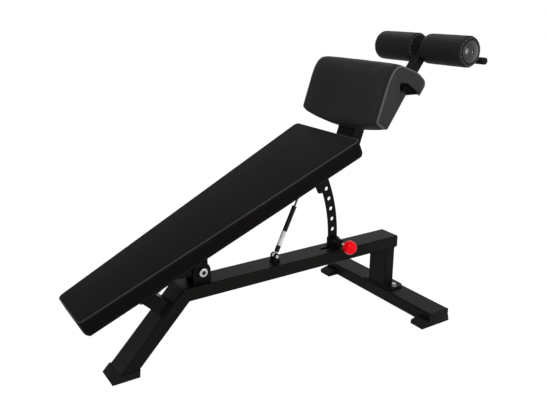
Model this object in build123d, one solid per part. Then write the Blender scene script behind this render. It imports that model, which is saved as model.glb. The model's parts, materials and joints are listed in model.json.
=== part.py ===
"""Adjustable decline bench: tapered back pad on a tilting frame, padded knee rest, ankle rollers, pop pin.

Frame: millimetres, +Z up, floor at Z = 0, +X towards the rollers, Y = 0 is the centre plane.
The bench is drawn at its steepest setting, with the pop pin pulled clear of the arc plate.
"""
from math import asin, atan2, cos, degrees, hypot, radians, sin, tan
import os

from build123d import *

# Main steel tube
TUBE_WIDTH = 100.0
TUBE_DEPTH = 50.0
TUBE_WALL = 3.0
TUBE_CORNER = 6.0

# Base
BEAM_TOP = 278.0
BEAM_REAR_REACH = 892.0
LEG_ANGLE = 46.1
LEG_JOINT_REACH = 68.5
POST_REAR_GAP = 12.0
FOOT_LENGTH = 654.0
FOOT_REAR_REACH = 923.0
FOOT_LIFT = 5.0
END_CAP_FLANGE = 4.0
END_CAP_PLUG = 22.0

# Rubber boots
BOOT_WALL = 3.0
BOOT_FIT = 0.3
FRONT_BOOT_RIM = 26.0
FRONT_BOOT_HEEL = 24.0
FOOT_BOOT_LENGTH = 63.0
FOOT_BOOT_RIM = 24.0
FOOT_BOOT_TOE = 38.0
FOOT_BOOT_TOE_HEIGHT = 16.0
FOOT_BOOT_HEEL = 8.0

# Bolted flange under the rear post
FLANGE_LENGTH = 176.0
FLANGE_WIDTH = 88.0
FLANGE_THICKNESS = 8.0
FLANGE_BOLT_PITCH = 132.0
FLANGE_BOLT = 12.0
FLANGE_BOLT_HEAD = 22.0
FLANGE_BOLT_HEAD_HEIGHT = 8.0
FLANGE_BOLT_GRIP = 26.0

# Main pivot
PIVOT_X = -352.4
PIVOT_RISE = 42.6
PIVOT_BOLT = 20.0
PIVOT_BOLT_HEAD = 33.0
PIVOT_BOLT_HEAD_HEIGHT = 13.0
PIVOT_SOCKET = 14.0
PIVOT_SOCKET_DEPTH = 8.0
PIVOT_NUT_HEIGHT = 16.0
PIVOT_NUT_FLATS = 30.0
BUSH_WALL = 4.0
BUSH_LENGTH = 22.0
HUB_WALL = 6.0
LUG_RADIUS = 33.0
LUG_THICKNESS = 8.0
LUG_SIDE_GAP = 0.4
RUNNING_FIT = 0.05

# Tilting frame
TILT_ANGLE = 24.76
RAIL_WIDTH = 25.0
RAIL_WALL = 2.5
RAIL_CORNER = 4.0
RAIL_RISE = 44.0
RAIL_LOWER_REACH = 232.0
HANGER_THICKNESS = 8.0
HANGER_HALF_LENGTH = 52.0
HANGER_TAIL = 100.0
HANGER_TAIL_DROP = 12.0
HANGER_RADIUS = 29.0
STOP_DROP = 88.0
BUMPER_THICKNESS = 25.0
BUMPER_PLUG = 18.0
BUMPER_GAP = 0.3
UPRIGHT_PAD_GAP = 57.0
UPRIGHT_LEAN = 46.3
UPRIGHT_HEIGHT = 196.0

# Arc plate and its six holes
ARC_RADIUS = 590.0
ARC_WIDTH = 42.0
ARC_THICKNESS = 6.0
ARC_HOLE = 16.0
ARC_HOLE_COUNT = 6
ARC_PITCH = 4.24
ARC_FIRST_ANGLE = -1.1
ARC_END_MARGIN = 3.4
ARC_LUG_DROP = 54.0
ARC_LUG_FRONT = 19.0
ARC_MOUNT_THICKNESS = 8.0
ARC_MOUNT_LENGTH = 62.0
SLOT_WIDTH = 18.0
SLOT_FRONT_ROOM = 30.0
SLOT_REAR_ROOM = 10.0

# Pop pin
CHEEK_THICKNESS = 8.0
CHEEK_ARC_GAP = 3.0
CHEEK_FRONT = 17.0
CHEEK_REAR = 35.0
CHEEK_TOP_ROOM = 14.0
CHEEK_CHAMFER = 18.0
CHEEK_FRONT_CHAMFER = 7.0
PIN_DIAMETER = 15.0
PIN_CLEAR = 0.5
PIN_TRAVEL = 16.0
BARREL_RADIUS = 15.0
BARREL_BORE = 22.0
BARREL_LENGTH = 48.0
BARREL_END_WALL = 5.0
PIN_COLLAR = 4.0
KNOB_RADIUS = 27.0
KNOB_NECK = 10.0
KNOB_STAND_OFF = 23.0
KNOB_BORE_DEPTH = 22.0
SPRING_WIRE = 1.8
SPRING_TURNS = 5

# Gas strut
STRUT_Y = -8.0
STRUT_FOOT_REACH = 313.6
STRUT_FOOT_RISE = 24.8
STRUT_HEAD_ARC_GAP = 50.0
STRUT_HEAD_RISE = 66.5
STRUT_TUBE = 18.0
STRUT_TUBE_WALL = 2.0
STRUT_TUBE_END = 199.0
STRUT_TUBE_START = 16.0
STRUT_ROD = 8.0
STRUT_NECK_WALL = 2.0
STRUT_EYE = 20.0
STRUT_EYE_WIDTH = 13.4
STRUT_PIN = 8.0
STRUT_PIN_HEAD = 14.0
STRUT_PIN_HEAD_HEIGHT = 5.5
STRUT_EAR = 6.0
STRUT_EAR_RADIUS = 12.0
STRUT_EAR_GAP = 0.3
STRUT_FOOT_PLATE = 6.0
STRUT_FOOT_PLATE_LENGTH = 30.0
STRUT_HEAD_WINDOW = 26.0
STRUT_HEAD_PLATE = 4.0
STRUT_HEAD_LENGTH = 44.0
STRUT_GUIDE = 12.0
STRUT_PISTON = 12.0
STRUT_PLUG = 12.0

# Back pad
PAD_LENGTH = 1109.0
PAD_LOWER_REACH = 431.0
PAD_LOWER_WIDTH = 224.0
PAD_UPPER_WIDTH = 392.0
PAD_THICKNESS = 70.0
PAD_CORNER = 16.0
PAD_FOOT_DRAW = 8.0
PAD_CROWN = 6.0
PAD_BOARD = 16.0
PAD_BOARD_INSET = 10.0
SCREW = 8.0
SCREW_HEAD = 16.0
SCREW_HEAD_HEIGHT = 5.0
SCREW_CLEAR = 0.5
SCREW_BITE = 10.0
PAD_SCREW_PLACES = (-160.0, 220.0, 460.0)

# Knee pad
KNEE_HALF_WIDTH = 222.0
KNEE_FRONT = 64.0
KNEE_TOP = 293.0
KNEE_CALF_REACH = 112.0
KNEE_CALF_DROP = 16.0
KNEE_CALF_DEPTH = 59.0
KNEE_BEND = 82.0
KNEE_CORNER_BOTTOM = 70.0
KNEE_BOTTOM_SAG = 24.0
KNEE_CROWN = 3.0
KNEE_REAR_SLOPE = 0.28
KNEE_REAR_LOW = 4.0
KNEE_ARCH = 46.0
KNEE_BOARD = 9.0
KNEE_BOARD_HALF_WIDTH = 190.0
KNEE_BOARD_BOTTOM = 78.0
KNEE_BLOCK_HALF_WIDTH = 211.0
KNEE_BLOCK_RISE = 23.0
KNEE_PAD_GAP = 0.3
KNEE_CHANNEL_GAP = 2.0
KNEE_SCREW_ROWS = (100.0, 125.0)
KNEE_SCREW_SPREAD = 30.0

# Roller arm, rollers and handle
ARM_TUBE = 40.0
ARM_WALL = 2.5
ARM_CORNER = 5.0
ARM_ROOT = 156.0
ARM_ELBOW_BACK = 201.0
ARM_ELBOW_UP = 208.0
ROLLER_BACK = 272.0
ROLLER_UP = 428.0
ARM_OVERRUN = 24.0
ROLLER_BAR = 25.0
ROLLER_RADIUS = 58.0
ROLLER_INNER = 28.0
ROLLER_OUTER = 234.0
ROLLER_ROUND = 10.0
ROLLER_CORE_WALL = 5.0
ROLLER_CORE_GAP = 0.4
ROLLER_CAP_RADIUS = 41.0
ROLLER_CAP_EDGE = 2.0
ROLLER_CAP_DOME = 13.0
ROLLER_CAP_HOLE = 10.0
HANDLE_REACH = 128.0
HANDLE_BAR = 22.0
HANDLE_WALL = 2.5
HANDLE_HALF = 204.0
HANDLE_STEM = 25.0
GRIP_WALL = 2.6
GRIP_LENGTH = 125.0
GRIP_END = 3.0

# Values that follow from the sizes above
PIVOT_Z = BEAM_TOP + PIVOT_RISE
BEAM_MID = BEAM_TOP - TUBE_DEPTH / 2
BEAM_UNDER = BEAM_TOP - TUBE_DEPTH
BEAM_REAR = PIVOT_X + BEAM_REAR_REACH
POST_REAR = BEAM_REAR + END_CAP_FLANGE - POST_REAR_GAP
FOOT_REAR = PIVOT_X + FOOT_REAR_REACH
FOOT_TOP = FOOT_LIFT + TUBE_DEPTH
FLANGE_TOP = FOOT_TOP + FLANGE_THICKNESS
HALF_TUBE = TUBE_WIDTH / 2
RAIL_INNER = HALF_TUBE - RAIL_WIDTH
RAIL_TOP = RAIL_RISE + TUBE_DEPTH
PAD_TOP = RAIL_TOP + PAD_THICKNESS
UPRIGHT_REACH = PAD_LENGTH - PAD_LOWER_REACH + UPRIGHT_PAD_GAP
LUG_INNER = RAIL_INNER + LUG_SIDE_GAP
LUG_OUTER = LUG_INNER + LUG_THICKNESS
PIN_X = PIVOT_X + ARC_RADIUS * cos(radians(ARC_FIRST_ANGLE))
PIN_Z = PIVOT_Z + ARC_RADIUS * sin(radians(ARC_FIRST_ANGLE))
CHEEK_INNER = ARC_THICKNESS / 2 + CHEEK_ARC_GAP
CHEEK_OUTER = CHEEK_INNER + CHEEK_THICKNESS
BARREL_END = CHEEK_OUTER + BARREL_LENGTH
TILT = Pos(PIVOT_X, 0, PIVOT_Z) * Rot(0, -TILT_ANGLE, 0)
UPRIGHT = TILT * Pos(UPRIGHT_REACH, 0, RAIL_TOP) * Rot(0, 90 - UPRIGHT_LEAN, 0)


def block(x0, x1, y0, y1, z0, z1):
    """Box between two corners."""
    centre = Pos((x0 + x1) / 2, (y0 + y1) / 2, (z0 + z1) / 2)
    return centre * Box(x1 - x0, y1 - y0, z1 - z0)


def rod_y(x, z, radius, y0, y1):
    """Round bar along Y."""
    return Pos(x, (y0 + y1) / 2, z) * Rot(90, 0, 0) * Cylinder(radius, y1 - y0)


def side_plane(y):
    """Plane across Y with its own x along X and its own y along Z."""
    return Plane(origin=(0, y, 0), x_dir=(1, 0, 0), z_dir=(0, -1, 0))


def side_plate(outline, y0, y1):
    """Plate between y0 and y1 with a polygon outline of (x, z) points."""
    face = make_face(Polyline(*outline, close=True))
    return extrude(side_plane(y1) * face, y1 - y0)


def tube_x(x0, x1, width, depth, wall, corner):
    """Rectangular tube along X, centred on the X axis."""
    section = RectangleRounded(width, depth, corner)
    section -= RectangleRounded(width - 2 * wall, depth - 2 * wall, max(corner - wall, 0.5))
    start = Plane(origin=(x0, 0, 0), x_dir=(0, 1, 0), z_dir=(1, 0, 0))
    return extrude(start * section, x1 - x0)


def keep_side(part, plane):
    """The part of a solid that lies on the side the plane's normal points to."""
    return split(part, bisect_by=plane, keep=Keep.TOP)


def mitre_plane(x, z, first, second):
    """Mitre between two runs that leave (x, z) along angles first and second; faces the first run."""
    a, b = radians(first), radians(second)
    return Plane(origin=(x, 0, z), z_dir=(cos(a) - cos(b), 0, sin(a) - sin(b)))


def hexagon_y(x, z, flats, y0, y1):
    """Hexagon bar along Y."""
    face = RegularPolygon(flats / 2, 6, major_radius=False)
    return extrude(side_plane(y1) * Pos(x, z) * face, y1 - y0)


def revolve_y(outline, x, z):
    """Solid of revolution about the Y line through (x, z), from (radius, y) points and arcs."""
    return Pos(x, 0, z) * revolve(make_face(outline), Axis.Y)


# Base frame
LEG_JOINT_X = PIVOT_X - LEG_JOINT_REACH
LEG_TURN = Rot(0, -LEG_ANGLE, 0)
LEG_RUN = BEAM_MID / sin(radians(LEG_ANGLE)) + TUBE_WIDTH
BASE_MITRE = mitre_plane(LEG_JOINT_X, BEAM_MID, 0, 180 + LEG_ANGLE)


def make_main_beam():
    """Flat horizontal tube, mitred in front, slotted through for the arc plate."""
    tube = tube_x(LEG_JOINT_X - TUBE_WIDTH, BEAM_REAR, TUBE_WIDTH, TUBE_DEPTH, TUBE_WALL, TUBE_CORNER)
    beam = keep_side(Pos(0, 0, BEAM_MID) * tube, BASE_MITRE)
    drop = PIVOT_Z - BEAM_UNDER
    front = PIVOT_X + ((ARC_RADIUS - ARC_WIDTH / 2) ** 2 - drop ** 2) ** 0.5 - SLOT_FRONT_ROOM
    rear = PIVOT_X + ARC_RADIUS + ARC_WIDTH / 2 + SLOT_REAR_ROOM
    half = SLOT_WIDTH / 2
    return beam - block(front, rear, -half, half, BEAM_UNDER - 1, BEAM_TOP + 1)


def make_front_leg():
    """Sloping tube from the mitre down to the front boot."""
    tube = tube_x(-LEG_RUN, TUBE_WIDTH, TUBE_WIDTH, TUBE_DEPTH, TUBE_WALL, TUBE_CORNER)
    leg = keep_side(Pos(LEG_JOINT_X, 0, BEAM_MID) * LEG_TURN * tube, -BASE_MITRE)
    return keep_side(leg, Plane(origin=(0, 0, FOOT_LIFT)))


def leg_face_x(z, offset):
    """X of the leg's middle plane moved towards the front by offset, at height z."""
    slope = radians(LEG_ANGLE)
    return LEG_JOINT_X - (BEAM_MID - z) / tan(slope) - offset / sin(slope)


def make_front_boot():
    """Rubber shoe on the foot of the front leg."""
    skin = TUBE_DEPTH / 2 + BOOT_FIT + BOOT_WALL
    heel = leg_face_x(0, -TUBE_DEPTH / 2) + FRONT_BOOT_HEEL
    outline = [(leg_face_x(0, skin), 0), (heel, 0)]
    outline += [(heel + 2, FRONT_BOOT_RIM), (leg_face_x(FRONT_BOOT_RIM, skin), FRONT_BOOT_RIM)]
    half = HALF_TUBE + BOOT_FIT + BOOT_WALL
    boot = side_plate(outline, -half, half)
    pocket = LEG_TURN * Box(2 * LEG_RUN, TUBE_WIDTH + 2 * BOOT_FIT, TUBE_DEPTH + 2 * BOOT_FIT)
    pocket = Pos(LEG_JOINT_X, 0, BEAM_MID) * pocket
    return boot - keep_side(pocket, Plane(origin=(0, 0, FOOT_LIFT)))


def make_rear_post():
    """Upright tube from the flange to the underside of the beam."""
    tube = tube_x(FLANGE_TOP, BEAM_UNDER, TUBE_WIDTH, TUBE_DEPTH, TUBE_WALL, TUBE_CORNER)
    return Pos(POST_REAR - TUBE_DEPTH / 2, 0, 0) * Rot(0, -90, 0) * tube


def flange_bolt_places():
    """Both flange bolts, at the middle of the cross foot."""
    return [(FOOT_REAR - HALF_TUBE, side * FLANGE_BOLT_PITCH / 2) for side in (-1, 1)]


def make_post_flange():
    """Plate with rounded ends between post and cross foot."""
    face = RectangleRounded(FLANGE_WIDTH, FLANGE_LENGTH, FLANGE_WIDTH / 3)
    for x, y in flange_bolt_places():
        face -= Pos(x - FOOT_REAR + HALF_TUBE, y) * Circle(FLANGE_BOLT / 2 + SCREW_CLEAR)
    return extrude(Pos(FOOT_REAR - HALF_TUBE, 0, FOOT_TOP) * face, FLANGE_THICKNESS)


def make_rear_cross_foot():
    """Flat tube across the rear, drilled for the flange bolts."""
    half = FOOT_LENGTH / 2 - BOOT_WALL
    tube = tube_x(-half, half, TUBE_WIDTH, TUBE_DEPTH, TUBE_WALL, TUBE_CORNER)
    foot = Pos(FOOT_REAR - HALF_TUBE, 0, FOOT_LIFT + TUBE_DEPTH / 2) * Rot(0, 0, 90) * tube
    for x, y in flange_bolt_places():
        foot -= Pos(x, y, FOOT_TOP) * Cylinder(FLANGE_BOLT / 2 + SCREW_CLEAR, 4 * TUBE_WALL)
    return foot


def make_flange_bolts():
    """Two hexagon bolts with washers and nuts inside the foot."""
    bolts = []
    for x, y in flange_bolt_places():
        washer = Pos(x, y, FLANGE_TOP + 1) * Cylinder(FLANGE_BOLT_HEAD / 2 + 2, 2)
        head = extrude(RegularPolygon(FLANGE_BOLT_HEAD / 2, 6), FLANGE_BOLT_HEAD_HEIGHT)
        head = fillet(head.edges().group_by(Axis.Z)[-1], 1)
        shank_top = FLANGE_TOP + 2
        shank = Pos(x, y, shank_top - FLANGE_BOLT_GRIP / 2) * Cylinder(FLANGE_BOLT / 2, FLANGE_BOLT_GRIP)
        nut = extrude(RegularPolygon(FLANGE_BOLT_HEAD / 2, 6), -FLANGE_BOLT_HEAD_HEIGHT)
        bolts.append(washer + Pos(x, y, shank_top) * head + shank + Pos(x, y, FOOT_TOP - TUBE_WALL) * nut)
    return Compound(children=bolts)


def make_foot_boot(side):
    """Rubber shoe on one end of the cross foot, with a toe that spreads forwards."""
    front, rear = FOOT_REAR - TUBE_WIDTH, FOOT_REAR
    skin = BOOT_FIT + BOOT_WALL
    outline = [(front - FOOT_BOOT_TOE, 0), (rear + FOOT_BOOT_HEEL, 0), (rear + skin, FOOT_BOOT_RIM)]
    outline += [(front - skin, FOOT_BOOT_RIM), (front - FOOT_BOOT_TOE, FOOT_BOOT_TOE_HEIGHT)]
    end = FOOT_LENGTH / 2
    shoe = side_plate(outline, end - FOOT_BOOT_LENGTH, end)
    shoe += block(front, rear, end - BOOT_WALL, end, 0, FOOT_TOP)
    pocket_end = end - BOOT_WALL
    pocket = block(front - BOOT_FIT, rear + BOOT_FIT, 0, pocket_end, FOOT_LIFT, FOOT_TOP + 1)
    shoe -= pocket
    return shoe if side > 0 else mirror(shoe, Plane.XZ)


def make_beam_end_cap():
    """Plastic plug that closes the rear end of the beam."""
    inner_w, inner_d = TUBE_WIDTH - 2 * TUBE_WALL, TUBE_DEPTH - 2 * TUBE_WALL
    start = Plane(origin=(BEAM_REAR, 0, BEAM_MID), x_dir=(0, 1, 0), z_dir=(1, 0, 0))
    cap = extrude(start * RectangleRounded(TUBE_WIDTH, TUBE_DEPTH, TUBE_CORNER), END_CAP_FLANGE)
    plug = RectangleRounded(inner_w - 2 * BOOT_FIT, inner_d - 2 * BOOT_FIT, TUBE_WALL)
    plug -= RectangleRounded(inner_w - 4 * BOOT_WALL, inner_d - 4 * BOOT_WALL, TUBE_WALL)
    return cap + extrude(start * plug, -END_CAP_PLUG)


# Main pivot
def make_pivot_lug(side):
    """Round-topped plate that stands on the beam beside the hub."""
    y0, y1 = sorted((side * LUG_INNER, side * LUG_OUTER))
    lug = block(PIVOT_X - LUG_RADIUS, PIVOT_X + LUG_RADIUS, y0, y1, BEAM_TOP, PIVOT_Z)
    lug += rod_y(PIVOT_X, PIVOT_Z, LUG_RADIUS, y0, y1)
    return lug - rod_y(PIVOT_X, PIVOT_Z, PIVOT_BOLT / 2, y0, y1)


def make_pivot_bolt():
    """Shouldered socket-head bolt through both lugs."""
    head_end = -LUG_OUTER - PIVOT_BOLT_HEAD_HEIGHT
    bolt = rod_y(PIVOT_X, PIVOT_Z, PIVOT_BOLT / 2, -LUG_OUTER, LUG_OUTER + PIVOT_NUT_HEIGHT)
    head = rod_y(PIVOT_X, PIVOT_Z, PIVOT_BOLT_HEAD / 2, head_end, -LUG_OUTER)
    head = fillet(head.edges().group_by(Axis.Y)[0], 4)
    socket = hexagon_y(PIVOT_X, PIVOT_Z, PIVOT_SOCKET, head_end, head_end + PIVOT_SOCKET_DEPTH)
    return bolt + head - socket


def make_pivot_nut():
    """Lock nut on the far end of the pivot bolt."""
    y0, y1 = LUG_OUTER, LUG_OUTER + PIVOT_NUT_HEIGHT
    nut = hexagon_y(PIVOT_X, PIVOT_Z, PIVOT_NUT_FLATS, y0, y1)
    return nut - rod_y(PIVOT_X, PIVOT_Z, PIVOT_BOLT / 2, y0, y1)


HUB_BORE = PIVOT_BOLT / 2 + RUNNING_FIT + BUSH_WALL


def make_pivot_hub():
    """Tube that carries the tilting frame between the lugs."""
    hub = rod_y(0, 0, HUB_BORE + HUB_WALL, -RAIL_INNER, RAIL_INNER)
    return TILT * (hub - rod_y(0, 0, HUB_BORE, -RAIL_INNER, RAIL_INNER))


def make_pivot_bushes():
    """One plain bush in each end of the hub."""
    bushes = []
    for side in (-1, 1):
        y0, y1 = sorted((side * RAIL_INNER, side * (RAIL_INNER - BUSH_LENGTH)))
        bush = rod_y(0, 0, HUB_BORE, y0, y1) - rod_y(0, 0, PIVOT_BOLT / 2 + RUNNING_FIT, y0, y1)
        bushes.append(TILT * bush)
    return Compound(children=bushes)


def make_pivot_hangers():
    """Two plates on the inner sides of the rails that hold the hub."""
    half, low = HANGER_HALF_LENGTH, RAIL_RISE + RAIL_CORNER
    outline = [(-HANGER_TAIL, RAIL_TOP - RAIL_CORNER), (half, RAIL_TOP - RAIL_CORNER), (half, low)]
    outline += [(HANGER_RADIUS, 0), (-HANGER_RADIUS, 0), (-HANGER_TAIL, low - HANGER_TAIL_DROP)]
    plates = []
    for side in (-1, 1):
        y0, y1 = sorted((side * RAIL_INNER, side * (RAIL_INNER - HANGER_THICKNESS)))
        plate = side_plate(outline, y0, y1) + rod_y(0, 0, HANGER_RADIUS, y0, y1)
        plates.append(TILT * (plate - rod_y(0, 0, HUB_BORE + HUB_WALL, y0, y1)))
    return Compound(children=plates)


# Tilting frame
RAIL_MID = RAIL_RISE + TUBE_DEPTH / 2
UPRIGHT_MID_SHIFT = TUBE_DEPTH / 2 * tan(radians(UPRIGHT_LEAN / 2))
FRAME_MITRE = mitre_plane(UPRIGHT_REACH + UPRIGHT_MID_SHIFT, RAIL_MID, 180, UPRIGHT_LEAN)


def rail_screw_holes(y):
    """Clearance holes through one rail for the pad screws."""
    radius = SCREW / 2 + SCREW_CLEAR
    return [Pos(u, y, RAIL_MID) * Cylinder(radius, 2 * TUBE_DEPTH) for u in PAD_SCREW_PLACES]


def make_rail(side):
    """One of the two tubes under the back pad, mitred to the upright."""
    y = side * (HALF_TUBE - RAIL_WIDTH / 2)
    end = UPRIGHT_REACH + TUBE_WIDTH
    tube = tube_x(-RAIL_LOWER_REACH, end, RAIL_WIDTH, TUBE_DEPTH, RAIL_WALL, RAIL_CORNER)
    rail = keep_side(Pos(0, y, RAIL_MID) * tube, FRAME_MITRE)
    for hole in rail_screw_holes(y):
        rail -= hole
    return TILT * rail


def make_rail_end_caps():
    """Plastic plugs in the low ends of both rails."""
    caps = []
    for side in (-1, 1):
        centre = (-RAIL_LOWER_REACH, side * (HALF_TUBE - RAIL_WIDTH / 2), RAIL_MID)
        start = Plane(origin=centre, x_dir=(0, 1, 0), z_dir=(-1, 0, 0))
        cap = extrude(start * RectangleRounded(RAIL_WIDTH, TUBE_DEPTH, RAIL_CORNER), END_CAP_FLANGE)
        inner_w, inner_d = RAIL_WIDTH - 2 * RAIL_WALL, TUBE_DEPTH - 2 * RAIL_WALL
        plug = RectangleRounded(inner_w - 2 * BOOT_FIT, inner_d - 2 * BOOT_FIT, RAIL_CORNER - RAIL_WALL)
        caps.append(TILT * (cap + extrude(start * plug, -END_CAP_PLUG)))
    return Compound(children=caps)


def make_upright():
    """Leaning tube at the head of the rails that carries knee pad and roller arm."""
    tube = tube_x(-2 * TUBE_WIDTH, UPRIGHT_HEIGHT, TUBE_WIDTH, TUBE_DEPTH, TUBE_WALL, TUBE_CORNER)
    tube = Pos(TUBE_DEPTH / 2, 0, 0) * Rot(0, -90, 0) * tube
    tube = Pos(UPRIGHT_REACH, 0, RAIL_TOP) * Rot(0, 90 - UPRIGHT_LEAN, 0) * tube
    upright = TILT * keep_side(tube, -FRAME_MITRE)
    for y, z in knee_screw_places():
        hole = Pos(TUBE_DEPTH / 2, y, z) * Rot(0, 90, 0) * Cylinder(SCREW / 2 + SCREW_CLEAR, 2 * TUBE_DEPTH)
        upright -= UPRIGHT * hole
    return upright


# The stop stands square on the front face of the leg
LEG_NORMAL = (-sin(radians(LEG_ANGLE)), cos(radians(LEG_ANGLE)))
LEG_ALONG = (cos(radians(LEG_ANGLE)), sin(radians(LEG_ANGLE)))
STOP_X = leg_face_x(BEAM_TOP, TUBE_DEPTH / 2) - STOP_DROP * LEG_ALONG[0]
STOP_Z = BEAM_TOP - STOP_DROP * LEG_ALONG[1]
STOP = Pos(STOP_X, 0, STOP_Z) * Rot(0, -LEG_ANGLE, 0)


def make_stop_leg():
    """Short tube under the rails whose bumper rests on the front leg."""
    start = BUMPER_GAP + BUMPER_THICKNESS
    tube = tube_x(start, 3 * TUBE_WIDTH, TUBE_WIDTH, TUBE_DEPTH, TUBE_WALL, TUBE_CORNER)
    tube = STOP * Rot(0, -90, 0) * tube
    under = Plane(TILT * Pos(0, 0, RAIL_RISE))
    return keep_side(tube, -under)


def make_stop_bumper():
    """Rubber block plugged into the end of the stop."""
    face = RectangleRounded(TUBE_DEPTH, TUBE_WIDTH, TUBE_CORNER)
    less = 2 * TUBE_WALL + BOOT_FIT
    plug = RectangleRounded(TUBE_DEPTH - less, TUBE_WIDTH - less, TUBE_WALL)
    pad = extrude(Pos(0, 0, BUMPER_GAP) * face, BUMPER_THICKNESS)
    pad += extrude(Pos(0, 0, BUMPER_GAP + BUMPER_THICKNESS) * plug, BUMPER_PLUG)
    return STOP * pad


# Arc plate
ARC_LOCAL_FIRST = ARC_FIRST_ANGLE - TILT_ANGLE
ARC_MOUNT_LOW = RAIL_RISE - ARC_MOUNT_THICKNESS


def arc_point(radius, angle):
    """Point at an angle from the rails' direction, about the pivot."""
    return (radius * cos(radians(angle)), radius * sin(radians(angle)))


def make_arc_plate():
    """Quadrant with six holes, widened at the head where it is welded to its mount."""
    inner, outer = ARC_RADIUS - ARC_WIDTH / 2, ARC_RADIUS + ARC_WIDTH / 2
    low = ARC_LOCAL_FIRST - ARC_END_MARGIN
    head = degrees(asin(ARC_MOUNT_LOW / outer))
    neck = -degrees(atan2(ARC_LUG_DROP, inner))
    band = Line(arc_point(inner, low), arc_point(outer, low))
    band += ThreePointArc(arc_point(outer, low), arc_point(outer, (low + head) / 2), arc_point(outer, head))
    head_front = arc_point(inner, neck)[0] - ARC_LUG_FRONT
    corner = (head_front, -ARC_LUG_DROP + ARC_LUG_FRONT / 2)
    top = arc_point(outer, head)
    band += Polyline(top, (head_front, top[1]), corner, arc_point(inner, neck))
    band += ThreePointArc(arc_point(inner, neck), arc_point(inner, (low + neck) / 2), arc_point(inner, low))
    face = make_face(band)
    for index in range(ARC_HOLE_COUNT):
        face -= Pos(*arc_point(ARC_RADIUS, ARC_LOCAL_FIRST + index * ARC_PITCH)) * Circle(ARC_HOLE / 2)
    return TILT * extrude(side_plane(ARC_THICKNESS / 2) * face, ARC_THICKNESS)


def make_arc_mount():
    """Flat plate welded under both rails, head of the arc plate."""
    rear = ARC_RADIUS + ARC_WIDTH / 2 + ARC_MOUNT_THICKNESS
    front = rear - ARC_MOUNT_LENGTH
    return TILT * block(front, rear, -HALF_TUBE, HALF_TUBE, ARC_MOUNT_LOW, RAIL_RISE)


# Pop pin and its bracket
def make_pin_cheek(side):
    """Plate on the beam beside the arc, bored for the pin."""
    y0, y1 = sorted((side * CHEEK_INNER, side * CHEEK_OUTER))
    x0, x1 = PIN_X - CHEEK_FRONT, PIN_X + CHEEK_REAR
    top = PIN_Z + CHEEK_TOP_ROOM
    outline = [(x0, BEAM_TOP), (x1, BEAM_TOP), (x1, top - CHEEK_CHAMFER), (x1 - CHEEK_CHAMFER, top)]
    outline += [(x0 + CHEEK_FRONT_CHAMFER, top), (x0, top - CHEEK_FRONT_CHAMFER)]
    return side_plate(outline, y0, y1) - rod_y(PIN_X, PIN_Z, PIN_DIAMETER / 2 + PIN_CLEAR, y0, y1)


def make_pin_barrel():
    """Housing of the pin's spring, welded to the near cheek."""
    barrel = rod_y(PIN_X, PIN_Z, BARREL_RADIUS, -BARREL_END, -CHEEK_OUTER)
    y0, y1 = -BARREL_END + BARREL_END_WALL, -CHEEK_OUTER - BARREL_END_WALL
    barrel -= rod_y(PIN_X, PIN_Z, BARREL_BORE / 2, y0, y1)
    return barrel - rod_y(PIN_X, PIN_Z, PIN_DIAMETER / 2 + RUNNING_FIT, -BARREL_END, -CHEEK_OUTER)


PIN_TIP = -ARC_THICKNESS / 2 - PIN_CLEAR
COLLAR_FRONT = -CHEEK_OUTER - BARREL_END_WALL - PIN_TRAVEL - PIN_CLEAR
KNOB_BASE = -BARREL_END - KNOB_STAND_OFF


def make_pin_plunger():
    """Chrome pin with the collar that the spring pushes on."""
    shank = rod_y(PIN_X, PIN_Z, PIN_DIAMETER / 2, KNOB_BASE - KNOB_BORE_DEPTH, PIN_TIP)
    shank = chamfer(shank.edges().group_by(Axis.Y)[-1], 1.5)
    radius = BARREL_BORE / 2 - 2 * RUNNING_FIT
    return shank + rod_y(PIN_X, PIN_Z, radius, COLLAR_FRONT - PIN_COLLAR, COLLAR_FRONT)


def make_pin_knob():
    """Ball knob with a flat neck face."""
    rise = (KNOB_RADIUS ** 2 - KNOB_NECK ** 2) ** 0.5
    centre = KNOB_BASE - rise
    ball = Pos(PIN_X, centre, PIN_Z) * Sphere(KNOB_RADIUS)
    ball = keep_side(ball, Plane(origin=(0, KNOB_BASE, 0), z_dir=(0, -1, 0)))
    return ball - rod_y(PIN_X, PIN_Z, PIN_DIAMETER / 2, KNOB_BASE - KNOB_BORE_DEPTH, KNOB_BASE)


def make_pin_spring():
    """Compression spring round the pin, between collar and rear wall."""
    front = COLLAR_FRONT - PIN_COLLAR - SPRING_WIRE / 2 - PIN_CLEAR / 2
    rear = -BARREL_END + BARREL_END_WALL + SPRING_WIRE / 2 + PIN_CLEAR / 2
    radius = (PIN_DIAMETER + BARREL_BORE) / 4
    length = front - rear
    path = Helix(pitch=length / SPRING_TURNS, height=length, radius=radius)
    wire = sweep(Plane(origin=path @ 0, z_dir=path % 0) * Circle(SPRING_WIRE / 2), path=path, is_frenet=True)
    return Pos(PIN_X, rear, PIN_Z) * Rot(-90, 0, 0) * wire


# Gas strut
STRUT_FOOT_X = PIVOT_X + STRUT_FOOT_REACH
STRUT_HEAD_REACH = ARC_RADIUS - STRUT_HEAD_ARC_GAP
STRUT_FOOT_Z = BEAM_TOP + STRUT_FOOT_RISE
STRUT_HEAD = TILT * Pos(STRUT_HEAD_REACH, 0, STRUT_HEAD_RISE)
STRUT_RUN = (STRUT_HEAD.position.X - STRUT_FOOT_X, STRUT_HEAD.position.Z - STRUT_FOOT_Z)
STRUT_LENGTH = hypot(*STRUT_RUN)
STRUT_ANGLE = degrees(atan2(STRUT_RUN[1], STRUT_RUN[0]))
STRUT = Pos(STRUT_FOOT_X, STRUT_Y, STRUT_FOOT_Z) * Rot(0, -STRUT_ANGLE, 0)
STRUT_BORE = STRUT_TUBE / 2 - STRUT_TUBE_WALL
STRUT_NECK = STRUT_ROD / 2 + STRUT_NECK_WALL
EYE_HALF = STRUT_EYE_WIDTH / 2
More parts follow.
